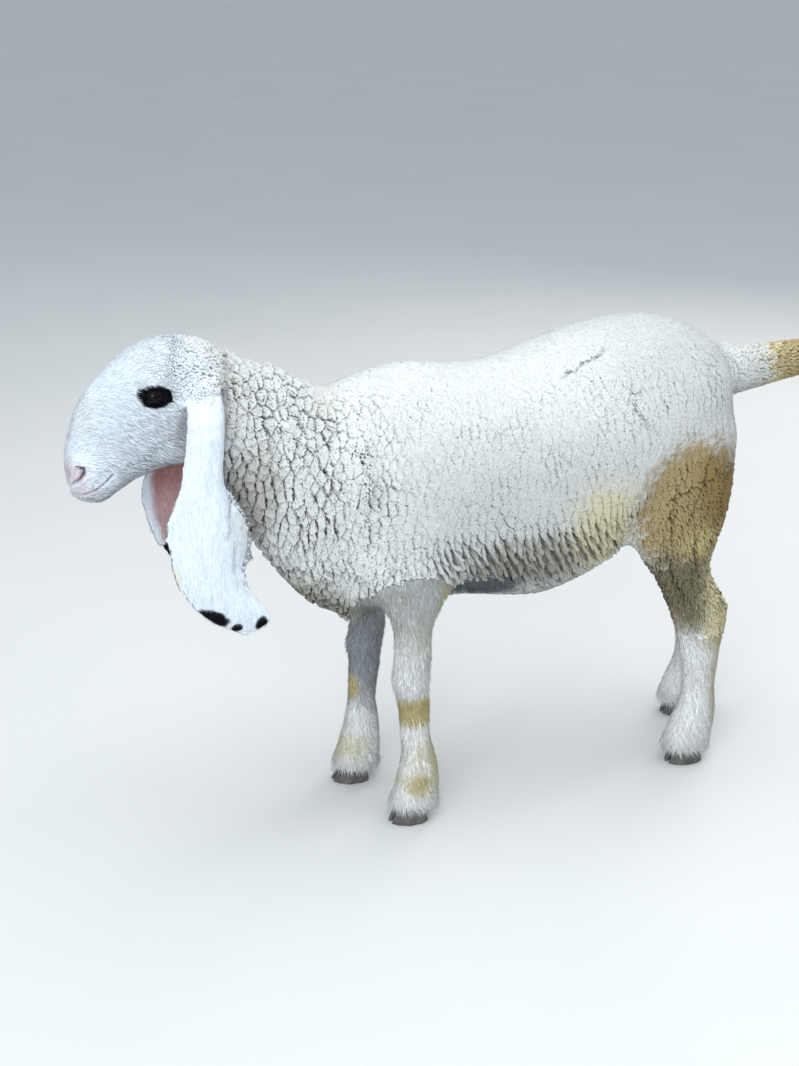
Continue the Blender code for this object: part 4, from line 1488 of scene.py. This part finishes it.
@dataclass
class Staples:
    """The cells into which shorn wool falls, long down the sides and round on the back.

    Args:
        scatter: what sets their middles on the skin.
        size: how far apart the middles are.
        squeeze: how far heights are squeezed above the waist, and below it where staples are longest.
    """

    scatter: Scatter
    size: float = 0.0118
    squeeze: tuple[float, float] = (0.62, 0.34)

    def __post_init__(self) -> None:
        """Sets the middles of the staples."""
        roots = self.scatter.over(None, self.size, 5)
        self.middles = roots.at[roots.wool > 0.25]
        self.tree = kdtree.KDTree(len(self.middles))
        for i, place in enumerate(self.warped(self.middles)):
            self.tree.insert(place, i)
        self.tree.balance()
        rng = np.random.default_rng(11)
        self.height = rng.uniform(-1.0, 1.0, len(self.middles))
        self.stray = rng.normal(0.0, 1.0, (len(self.middles), 3))

    def warped(self, places: Array) -> Array:
        """Places in a space where staples are round: the height is squeezed, most of all low down."""
        wave = clouds(places, 0.022, 3.0) * 0.0034 + clouds(places, 0.009, 8.0) * 0.0012
        high, low = self.squeeze
        z = places[:, 2] + wave[:, 2]
        turn = self.waist(places)
        tall = np.where(z > turn, high * z, high * turn + low * (z - turn))
        return np.column_stack([places[:, 0] + wave[:, 0], places[:, 1] + wave[:, 1], tall])

    @staticmethod
    def waist(places: Array) -> Array:
        """The height below which staples are longest."""
        return 0.47 + 0.09 * smooth_step(0.14, 0.22, places[:, 0])

    def around(self, places: Array) -> tuple[Array, Array, Array, Array]:
        """Each place's staple, its distance from the border, the way to it, and how upright the border is."""
        own = np.empty(len(places), np.int32)
        gap, upright = np.empty(len(places)), np.empty(len(places))
        border = np.empty((len(places), 3))
        for i, place in enumerate(self.warped(places)):
            (first, a, near), (second, b, far) = self.tree.find_n(place, 2)
            between = max((second - first).length, 1e-6)
            own[i] = a
            gap[i] = (far * far - near * near) / (2.0 * between)
            border[i] = (second - first) / between
            away = self.middles[b] - self.middles[a]
            upright[i] = math.hypot(away[0], away[1]) / max(float(np.linalg.norm(away)), 1e-6)
        border[:, 2] *= np.where(places[:, 2] > self.waist(places), *self.squeeze)
        return own, gap, border, upright


@dataclass
class Growth:
    """Turns roots into closed locks with a Geometry Nodes tree.

    Args:
        patch: how wide each lock's patch is on the unwrap of the skin.
        lock_rings: the height and radius of each ring of a lock's corners.
        hair_rings: those of a hair's.
    """

    patch: float = 0.003
    lock_rings: Sequence[tuple[float, float]] = ((0.0, 0.38), (0.955, 0.53))
    hair_rings: Sequence[tuple[float, float]] = ((0.0, 0.5),)

    def __post_init__(self) -> None:
        """Writes the tree that sets a lock on each root, and makes the shapes that it repeats."""
        inputs = (
            ("Lock", "NodeSocketObject", None),
            ("Material", "NodeSocketMaterial", None),
            ("Patch", "NodeSocketFloat", self.patch),
        )
        self.recipe = Recipe("locks", inputs)
        given, stored, arrow = self.recipe.given, self.recipe.stored, self.recipe.arrow
        graph, out = self.recipe.graph, self.recipe.graph.out
        lock = graph.add("GeometryNodeObjectInfo", None, {"Object": given["Lock"]}).outputs["Geometry"]
        aim = out("FunctionNodeAlignRotationToVector", {"axis": "Z"}, {"Vector": arrow("aim")})
        spin = out("FunctionNodeAxisAngleToRotation", None, {"Axis": UP, "Angle": stored("spin")})
        local = {"rotation_space": "LOCAL"}
        turned = out("FunctionNodeRotateRotation", local, {"Rotation": aim, "Rotate By": spin})
        placed = {"Points": given["Geometry"], "Instance": lock, "Rotation": turned, "Scale": arrow("size")}
        instances = out("GeometryNodeInstanceOnPoints", None, placed)
        grown = out("GeometryNodeRealizeInstances", None, {"Geometry": instances})
        along = Value(graph, stored("along"))
        bend = graph.scaled(arrow("bend"), along * along)
        grown = out("GeometryNodeSetPosition", None, {"Geometry": grown, "Offset": bend})
        unwrapped = graph.vector("ADD", arrow("unwrap"), graph.scaled(arrow("patch"), given["Patch"]))
        grown = self.recipe.store(grown, "OFBake", unwrapped, "FLOAT2", "CORNER")
        for name in ("aim", "spin", "size", "bend", "patch", "unwrap"):
            grown = out("GeometryNodeRemoveAttribute", None, {"Geometry": grown, "Name": name})
        grown = out("GeometryNodeSetShadeSmooth", None, {"Geometry": grown})
        dressed = {"Geometry": grown, "Material": given["Material"]}
        self.recipe.finish(out("GeometryNodeSetMaterial", None, dressed))
        self.lock = self.shape("lock", self.lock_rings)
        self.hair = self.shape("hair", self.hair_rings)

    @staticmethod
    def shape(name: str, rings: Sequence[tuple[float, float]]) -> bpy.types.Object:
        """A closed three-sided lock of length 1 along z, pointed at its tip.

        Args:
            name: its name.
            rings: the height and radius of each ring of corners.

        Returns:
            The object, which the tree repeats.
        """
        shape = bmesh.new()
        along, patch, made = [], [], []
        for height, radius in rings:
            turn = 0.5 * height
            ring = []
            for k in range(3):
                angle = math.tau * k / 3 + turn
                ring.append(shape.verts.new((radius * math.cos(angle), radius * math.sin(angle), height)))
                along.append(height)
                lower = 0.1 if k == 1 and height == 0 else 0.0
                patch.append((k / 2 - 0.5, height * 0.9 - 0.5 - lower, 0.0))
            made.append(ring)
        tip = shape.verts.new((0.0, 0.0, 1.0))
        along.append(1.0)
        patch.append((0.0, 0.5, 0.0))
        for ring, following in zip(made, made[1:]):
            for k in range(3):
                j = (k + 1) % 3
                shape.faces.new((ring[k], ring[j], following[j]))
                shape.faces.new((ring[k], following[j], following[k]))
        for k in range(3):
            shape.faces.new((made[-1][k], made[-1][(k + 1) % 3], tip))
        shape.faces.new(made[0][::-1])
        mesh = poured(shape, name)
        write(mesh, "along", np.array(along))
        write(mesh, "patch", np.array(patch))
        return link(name, mesh)

    def grow(
        self, name: str, values: dict[str, Array], woolly: bool, material: bpy.types.Material
    ) -> bpy.types.Mesh:
        """The mesh of all locks of one piece.

        Args:
            name: the piece's name.
            values: the places of the roots, as at, and what the tree reads at each root.
            woolly: True for locks, False for hairs.
            material: the material.

        Returns:
            The mesh.
        """
        mesh = bpy.data.meshes.new(f"roots_{name}")
        mesh.vertices.add(len(values["at"]))
        move_to(mesh, values.pop("at"))
        for key, rows in values.items():
            write(mesh, key, rows)
        given = {"Lock": self.lock if woolly else self.hair, "Material": material, "Patch": self.patch}
        return self.recipe.applied(mesh, given)

    def clear(self) -> None:
        """Removes the shapes that the tree repeats."""
        for shape in (self.lock, self.hair):
            bpy.data.objects.remove(shape)


@dataclass
class Seams:
    """What the cracks between staples do to each lock.

    Args:
        gap: how far its root is from the nearest crack.
        border: the way to that crack, scaled so that a step along it changes the gap by its length.
        deep: how deep that crack is.
        shade: how much painted shade darkens the whole lock, for lying in a crack or a parting.
        slim: its width as a share of a free lock's.
        plush: how far its shading follows the body's own surface.
    """

    gap: Array
    border: Array
    deep: Array
    shade: Array
    slim: Array
    plush: Array

    @classmethod
    def none(cls, count: int) -> "Seams":
        """No cracks, for short hair."""
        zeros = np.zeros(count)
        return cls(zeros + 1.0, np.zeros((count, 3)), zeros, zeros, zeros + 1.0, zeros + 0.5)


PARTINGS = (
    ((0.058, 0.659), (0.085, 0.668), (0.107, 0.676), (0.134, 0.687)),
    ((0.155, 0.630), (0.166, 0.613), (0.184, 0.593)),
    ((0.205, 0.632), (0.214, 0.618), (0.220, 0.600)),
    ((0.346, 0.520), (0.330, 0.480), (0.322, 0.445), (0.302, 0.410)),
    ((0.303, 0.545), (0.292, 0.500), (0.270, 0.455), (0.262, 0.405)),
    ((0.332, 0.440), (0.316, 0.405), (0.318, 0.360)),
    ((0.250, 0.500), (0.236, 0.455), (0.244, 0.400)),
    ((0.290, 0.430), (0.280, 0.390), (0.288, 0.350)),
    ((0.230, 0.410), (0.244, 0.375), (0.262, 0.330), (0.290, 0.290)),
)


@dataclass
class Coat:
    """The whole coat, one piece for each part.

    Args:
        skin: the skin that it grows from.
    """

    skin: bpy.types.Object

    def build(self) -> None:
        """Grows every piece."""
        scatter = Scatter(self.skin)
        self.staples = Staples(scatter)
        growth = Growth()
        wool = CoatFinish("wool_locks", root_shade_level=0.93, roughness=0.95).build()
        hair = CoatFinish("short_hair", root_shade_level=0.85, roughness=0.80).build()
        for part in Part:
            style, name = STYLES[part], part.name.lower()
            values = self.combed(part, style, scatter.over(part, style.spacing, int(part) + 20))
            mesh = growth.grow(name, values, style.woolly, wool if style.woolly else hair)
            piece = link(f"coat_{name}", mesh)
            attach(piece, "root")
            REPORT.info("%s: %d locks, %d faces", piece.name, len(values["root"]), len(mesh.polygons))
        growth.clear()

    @staticmethod
    def slot_of(part: Part) -> str:
        """The name of the finish that suits the part: face, ear or leg hair, or wool."""
        if part in (Part.FACE_LEFT, Part.FACE_RIGHT, Part.POLL):
            return "face_hair"
        if part in (Part.EAR_LEFT, Part.EAR_RIGHT):
            return "ear_hair"
        return "leg_hair" if STYLES[part] is SHANK else "wool"

    def combed(self, part: Part, style: Style, roots: Roots) -> dict[str, Array]:
        """How each lock of a part stands, bends and is shaded.

        Args:
            part: the part.
            style: its style.
            roots: where its locks grow.

        Returns:
            The values that the tree reads, by name.
        """
        rng = np.random.default_rng(100 + int(part))
        roots = self.thinned(roots, rng)
        at, out, lie = roots.at, roots.out, roots.lie
        count = len(at)
        side = np.cross(out, lie)
        ripple = clouds(at, 0.030, 5.0)
        fine = clouds(at, 0.008, 9.0)
        way = np.array(FACE_LIE if part in (Part.FACE_LEFT, Part.FACE_RIGHT) else (0.0, 0.0, 1.0))
        strokes = clouds(at - (at @ way)[:, None] * way * 0.75, 0.0045, 4.0)[:, 0]
        stray = rng.normal(0.0, 1.0, (count, 2)) * style.scruff
        swirl = style.scruff * (2.4 if part == Part.POLL else 1.2)
        rise = self.blended(part, "rise", at)[:, None]
        aim = out * rise + lie * (1.0 - rise * 0.6)
        hang = self.hanging(style, roots)
        aim = aim - (0.45 * hang)[:, None] * out + (0.35 * hang)[:, None] * lie
        aim = aim + side * (stray[:, :1] + swirl * fine[:, :1] + 0.15 * ripple[:, :1])
        aim = aim + lie * (0.5 * stray[:, 1:] + 0.5 * swirl * fine[:, 1:2])
        aim = unit(aim)
        rising = np.maximum(dots(aim, out), 0.12)
        uneven = 1.0 + rng.uniform(-1.0, 0.5, count) * style.uneven
        tall = roots.depth * self.blended(part, "length", at) * uneven
        tall = tall * (1.0 + 0.15 * hang)
        length = np.maximum(tall / rising if style.woolly else tall, style.least)
        length = np.minimum(length, LONGEST)
        if style is SHANK:
            foot = smooth_step(0.060, 0.032, at[:, 2])
            length = length * (1.0 + 0.75 * foot)
            aim = unit(aim + out * 0.22 * foot[:, None])
        seams = Seams.none(count)
        thick = (0.90, 1.08) if style.woolly else (0.75, 1.20)
        width = self.blended(part, "width", at) * rng.uniform(*thick, count)
        if style.cracks > 0.0:
            aim, length, seams = self.stapled(style, roots, aim, length, hang)
            width = width * seams.slim
        if part == Part.POLL:
            growing = smooth_step(0.02, 0.45, roots.wool)
            length, width = length * (0.32 + 0.68 * growing), width * (0.75 + 0.25 * growing)
            seams.shade, seams.deep = seams.shade * growing, seams.deep * growing
            seams.plush = seams.plush * growing + 0.97 * (1.0 - growing)
        bend = lie * (self.blended(part, "droop", at) * length)[:, None]
        return {
            "at": at - out * ROOT_SINK,
            "aim": aim,
            "spin": rng.uniform(0.0, math.tau, count),
            "size": np.column_stack([width, width * 0.92, length]),
            "bend": bend,
            "unwrap": self.unwrapped(part, roots),
            "root": at,
            "out": out,
            "inner": roots.inner,
            "tone": self.tones(style, strokes, fine, rng),
            # Painted shade of the whole lock, for lying in a crack or a parting.
            "crack": seams.shade,
            "gap": seams.gap,
            "border": seams.border,
            "deep": seams.deep,
            "plush": seams.plush,
        }

    @staticmethod
    def blended(part: Part, field: str, at: Array) -> Array:
        """A field of the part's style at each root: tail and gaskin start out as the wool beside them."""
        other, share = WOOL, smooth_step(0.490, 0.410, at[:, 0]) * (part == Part.TAIL)
        if STYLES[part] is GASKIN:
            other, share = THIGH, smooth_step(0.285, 0.350, at[:, 2])
        own = getattr(STYLES[part], field)
        return own + (getattr(other, field) - own) * share

    @staticmethod
    def hanging(style: Style, roots: Roots) -> Array:
        """How far the wool hangs down in long locks: along the lower edge of the flanks."""
        if style is not WOOL:
            return np.zeros(len(roots.at))
        x, _, z = roots.at.T
        low = smooth_step(0.505, 0.405, z) * smooth_step(-0.9, -0.5, roots.out[:, 2])
        low = low * smooth_step(0.35, 0.70, roots.wool)
        return low * smooth_step(-0.20, -0.13, x) * smooth_step(0.26, 0.18, x)

    @staticmethod
    def tones(style: Style, strokes: Array, fine: Array, rng: np.random.Generator) -> Array:
        """How bright each lock is: wool varies a little at random; hair varies at random and takes painted
        shade in streaks between its clumps.
        """
        if style.woolly:
            return 1.0 + rng.normal(0.0, 0.025, len(fine)) + 0.03 * fine[:, 2]
        streaks = 0.32 if style in (HAIR, EAR_HAIR) else 0.08
        return 1.0 + rng.normal(0.0, 0.045, len(fine)) - streaks * smooth_step(0.05, 0.6, -strokes)

    @staticmethod
    def thinned(roots: Roots, rng: np.random.Generator) -> Roots:
        """The roots without those in the eyes' openings, and with fewer on the inner face of the ears."""
        folded = np.column_stack([roots.at[:, 0], -np.abs(roots.at[:, 1]), roots.at[:, 2]])
        offset = folded - np.array(EYE)
        on_ball = np.linalg.norm(offset, axis=1) < EYE_RADIUS + 0.0032
        open_lids = np.hypot(offset[:, 0] / 0.0125, offset[:, 2] / 0.0068) < 1.0
        kept = ~(on_ball & open_lids) & (rng.uniform(size=len(roots.at)) > roots.inner * 0.72)
        kept &= roots.crease < 0.25
        return Roots(*(values[kept] for values in vars(roots).values()))

    def stapled(
        self, style: Style, roots: Roots, aim: Array, length: Array, hang: Array
    ) -> tuple[Array, Array, Seams]:
        """Gathers the locks into staples with cracks between them.

        Args:
            style: the part's style.
            roots: the roots.
            aim: the way each lock points.
            length: its length.
            hang: how far each lock belongs to a hanging tassel.

        Returns:
            The new ways and lengths, and what the cracks do to each lock.
        """
        own, gap, border, upright = self.staples.around(roots.at)
        field = self.crackle(roots, hang) * style.cracks
        wander = clouds(roots.at, 0.045, 21.0)[:, 0] + 0.6 * clouds(roots.at, 0.016, 33.0)[:, 0]
        deep = np.clip(field * (1.0 + 1.1 * wander), 0.0, 1.15) * (0.18 + 0.82 * upright)
        edge, skirt = bell(gap, 0.0012) * deep, bell(gap, 0.0032) * deep
        toward = self.staples.middles[own] - roots.at
        toward -= roots.out * dots(toward, roots.out)[:, None]
        lean = unit(toward) * (0.26 * skirt)[:, None] + toward * (45.0 * hang)[:, None]
        lean += self.staples.stray[own] * (0.05 * np.minimum(deep, 1.0))[:, None]
        aim = unit(aim + lean)
        dome = 0.10 * (1.0 - bell(gap, 0.004)) - 0.04
        tall = 1.0 + (dome + 0.06 * self.staples.height[own]) * deep - 0.45 * edge
        fissure = self.fissures(roots)
        seams = Seams(
            gap=gap,
            border=border,
            deep=np.clip(deep, 0.0, 1.0),
            shade=np.clip(0.16 * edge + 0.05 * skirt + 0.75 * fissure, 0.0, 0.9),
            slim=(1.0 - 0.30 * np.clip(skirt, 0.0, 1.0)) * (1.0 - 0.42 * field) * (1.0 - 0.50 * hang),
            plush=0.95 - 0.11 * np.clip(field * 1.2, 0.0, 1.0),
        )
        return aim, length * tall * (1.0 - 0.5 * fissure), seams

    @staticmethod
    def fissures(roots: Roots) -> Array:
        """How far each root lies in one of the few long partings."""
        flat = (roots.at + clouds(roots.at, 0.014, 51.0) * 0.0032) * [1.0, 0.0, 1.0]
        found = np.zeros(len(flat))
        for parting in PARTINGS:
            path = [np.array((x, 0.0, z)) for x, z in parting]
            distance, share = Skin.to_path(flat, path)
            ends = smooth_step(0.0, 0.25, share) * smooth_step(1.0, 0.75, share)
            found = np.maximum(found, bell(distance, 0.0019) * (0.25 + 0.75 * ends))
        return found

    @staticmethod
    def crackle(roots: Roots, hang: Array) -> Array:
        """How deep the cracks are over the body: most on neck and lower sides, least on the back and rump."""
        x, y, z = roots.at.T
        top = smooth_step(0.35, 0.85, roots.out[:, 2])
        neck = smooth_step(-0.17, -0.31, x)
        low = smooth_step(0.50, 0.43, z) * smooth_step(0.02, -0.12, x)
        thigh = smooth_step(0.18, 0.25, x) * smooth_step(0.57, 0.50, z)
        side = np.maximum.reduce([0.27 + 0.65 * neck, 0.80 * low, 0.95 * hang, 0.75 * thigh])
        side = np.maximum(side, 0.50 * smooth_step(0.50, 0.43, z))
        return side * (1.0 - (0.85 - 0.15 * neck) * top) * np.clip(roots.wool * 1.3, 0.0, 1.0)

    @staticmethod
    def unwrapped(part: Part, roots: Roots) -> Array:
        """Each root's place on a flat unwrap of its part of the skin, from 0 to 1 both ways."""
        x, y, z = roots.at.T
        name = part.name
        if name.startswith("EAR"):
            ear = Ear(LEFT if name.endswith("LEFT") else RIGHT)
            across = np.clip(ear.across(roots.at), 0.0, 1.0) * 0.46 + 0.02
            flipped = roots.out[:, 1] * ear.side < 0.0
            first, second = np.where(flipped, across + 0.5, across), z
        elif any(word in name for word in ("SHANK", "FOREARM", "THIGH", "GASKIN")):
            middle_x = np.interp(z, *Coat.spine(z, x))
            middle_y = np.median(y)
            first, second = np.arctan2(y - middle_y, x - middle_x), z
        elif name == "TAIL":
            first, second = np.arctan2(z - np.interp(x, *Coat.spine(x, z)), y), x
        else:
            middle_z = np.interp(x, *Coat.spine(x, z))
            first, second = np.arctan2(z - middle_z, np.abs(y) + 0.01), x
            if name == "POLL":
                first = np.where(y > 0, math.pi - first, first)
        flat = np.column_stack([first, second])
        low, high = flat.min(axis=0), flat.max(axis=0)
        if name.startswith("EAR"):
            low[0], high[0] = 0.0, 1.0
        flat = 0.01 + 0.98 * (flat - low) / (high - low)
        return np.column_stack([flat, np.zeros(len(flat))])

    @staticmethod
    def spine(along: Array, across: Array, slices: int = 9) -> tuple[Array, Array]:
        """The middle of a limb at even steps along it."""
        edges = np.linspace(along.min(), along.max() + 1e-6, slices + 1)
        places, middles = [], []
        for low, high in zip(edges, edges[1:]):
            level = across[(along >= low) & (along < high)]
            if len(level):
                places.append((low + high) / 2)
                middles.append((level.min() + level.max()) / 2)
        return np.array(places), np.array(middles)


# ------------------------------------------------------------------------------------------ eyes and hooves


@dataclass
class Eyes:
    """Two smooth eyeballs with a bulging cornea.

    Args:
        bulge: how far the cornea stands out from the ball.
        cornea: how wide the cornea is, as an angle from its middle in degrees.
    """

    bulge: float = 0.0007
    cornea: float = 40.0

    def build(self) -> None:
        """Makes both eyes."""
        for side, word in SIDES:
            centre, outward = Vector(eye_centre(side)), Vector(gaze(side)).normalized()
            shape = bmesh.new()
            bmesh.ops.create_uvsphere(shape, u_segments=48, v_segments=32, radius=EYE_RADIUS)
            turn = outward.to_track_quat("Z", "Y")
            for vertex in shape.verts:
                angle = math.degrees(vertex.co.angle(Vector(UP)))
                share = max(0.0, 1.0 - (angle / self.cornea) ** 2)
                vertex.co *= 1.0 + self.bulge / EYE_RADIUS * share
                vertex.co = turn @ vertex.co + centre
            mesh = poured(shape, f"eyeball_{word}")
            mesh.shade_smooth()
            mesh.materials.append(EyeFinish().build(centre, outward))
            piece = link(f"eyeball_{word}", mesh)
            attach(piece, "root")
            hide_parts(f"eye_{word}")
            REPORT.info("%s: %d faces", piece.name, len(mesh.polygons))


@dataclass
class Hooves:
    """The eight claws with rounded edges.

    Args:
        rounding: how wide the rounded edges are.
    """

    rounding: float = 0.0022

    def build(self) -> None:
        """Makes all claws from their solids."""
        horn = HornFinish().build()
        for name in sorted(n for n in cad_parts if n.startswith("claw_")):
            shape = opened(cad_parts[name].data)
            bmesh.ops.remove_doubles(shape, verts=shape.verts, dist=1e-5)
            bmesh.ops.dissolve_limit(shape, angle_limit=math.radians(4), verts=shape.verts, edges=shape.edges)
            carrier = link(f"carrier_{name}", poured(shape, f"hoof_{name}"))
            bevel = carrier.modifiers.new("round", "BEVEL")
            bevel.width = self.rounding
            bevel.segments = 4
            bevel.limit_method = "ANGLE"
            bevel.angle_limit = math.radians(20)
            mesh = settled(carrier)
            mesh.shade_smooth()
            mesh.materials.clear()
            mesh.materials.append(horn)
            piece = link(name.replace("claw_", "hoof_"), mesh)
            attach(piece, "root")
            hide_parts(name)
        REPORT.info("hooves: 8 claws")


# ------------------------------------------------------------------------------------------ studio


@dataclass
class Studio:
    """A pale floor, soft light and the camera.

    Args:
        lens: the camera's focal length in millimetres.
        camera_at: where the camera stands.
        looks: the way it looks.
    """

    lens: float = 60.8
    camera_at: Triple = (-1.1963, -2.301, 1.333)
    looks: Triple = (0.386, 0.859, -0.3363)

    def build(self) -> None:
        """Sets up all of it."""
        self.floor()
        self.sky()
        bpy.context.scene.view_settings.view_transform = "Standard"
        self.lamp("overhead", (0.2, -0.3, 3.2), (0.0, 0.0, 0.4), 3.2, 78.0, (0.96, 0.99, 1.0))
        self.lamp("front_left", (-2.4, -3.0, 1.9), (-0.2, 0.0, 0.5), 2.4, 100.0, (0.90, 0.96, 1.0))
        self.lamp("sparkle", (-1.6, -2.6, 1.6), (-0.5, 0.0, 0.65), 0.30, 8.0, (0.95, 0.98, 1.0))
        self.lamp("rear", (2.4, 1.8, 2.0), (0.1, 0.0, 0.5), 1.8, 30.0, (1.0, 0.97, 0.93))
        lens = bpy.data.cameras.new("camera")
        lens.lens = self.lens
        lens.sensor_width = 36.0
        camera = self.aimed(bpy.data.objects.new("camera", lens), self.camera_at, Vector(self.looks))
        bpy.context.scene.camera = camera

    def lamp(
        self, name: str, place: Triple, target: Triple, size: float, power: float, colour: Triple
    ) -> None:
        """A square soft light that points at a target."""
        light = bpy.data.lights.new(name, "AREA")
        light.size = size
        light.energy = power
        light.color = colour
        self.aimed(bpy.data.objects.new(name, light), place, Vector(target) - Vector(place))

    @staticmethod
    def aimed(made: bpy.types.Object, place: Triple, way: Vector) -> bpy.types.Object:
        """The lamp or camera, linked at a place and turned to look one way."""
        made.location = place
        made.rotation_euler = way.to_track_quat("-Z", "Y").to_euler()
        bpy.context.scene.collection.objects.link(made)
        return made

    @staticmethod
    def sky() -> None:
        """An even pale light from all round."""
        world = bpy.data.worlds.new("sky")
        world.use_nodes = True
        background = world.node_tree.nodes["Background"]
        background.inputs["Color"].default_value = (0.82, 0.91, 1.0, 1.0)
        background.inputs["Strength"].default_value = 0.70
        bpy.context.scene.world = world

    @staticmethod
    def floor() -> None:
        """A wide pale floor."""
        shape = bmesh.new()
        bmesh.ops.create_grid(shape, x_segments=1, y_segments=1, size=40.0)
        mesh = poured(shape, "floor")
        made, graph, shader = new_material("floor")
        colour = graph.mix(graph.grain(graph.place(), 0.5, 3.0), (0.60, 0.60, 0.59), (0.65, 0.645, 0.63))
        graph.wire(shader, {"Base Color": colour, "Roughness": 0.9})
        mesh.materials.append(made)
        link("floor", mesh)


def main() -> None:
    """Builds the sheep in order."""
    logging.basicConfig(level=logging.INFO, format="%(name)s: %(message)s")
    noise.seed_set(NOISE_SEED)
    skin = Skin().build()
    REPORT.info("skin: %d faces", len(skin.data.polygons))
    Coat(skin).build()
    Eyes().build()
    Hooves().build()
    Studio().build()


if __name__ == "__main__":
    main()
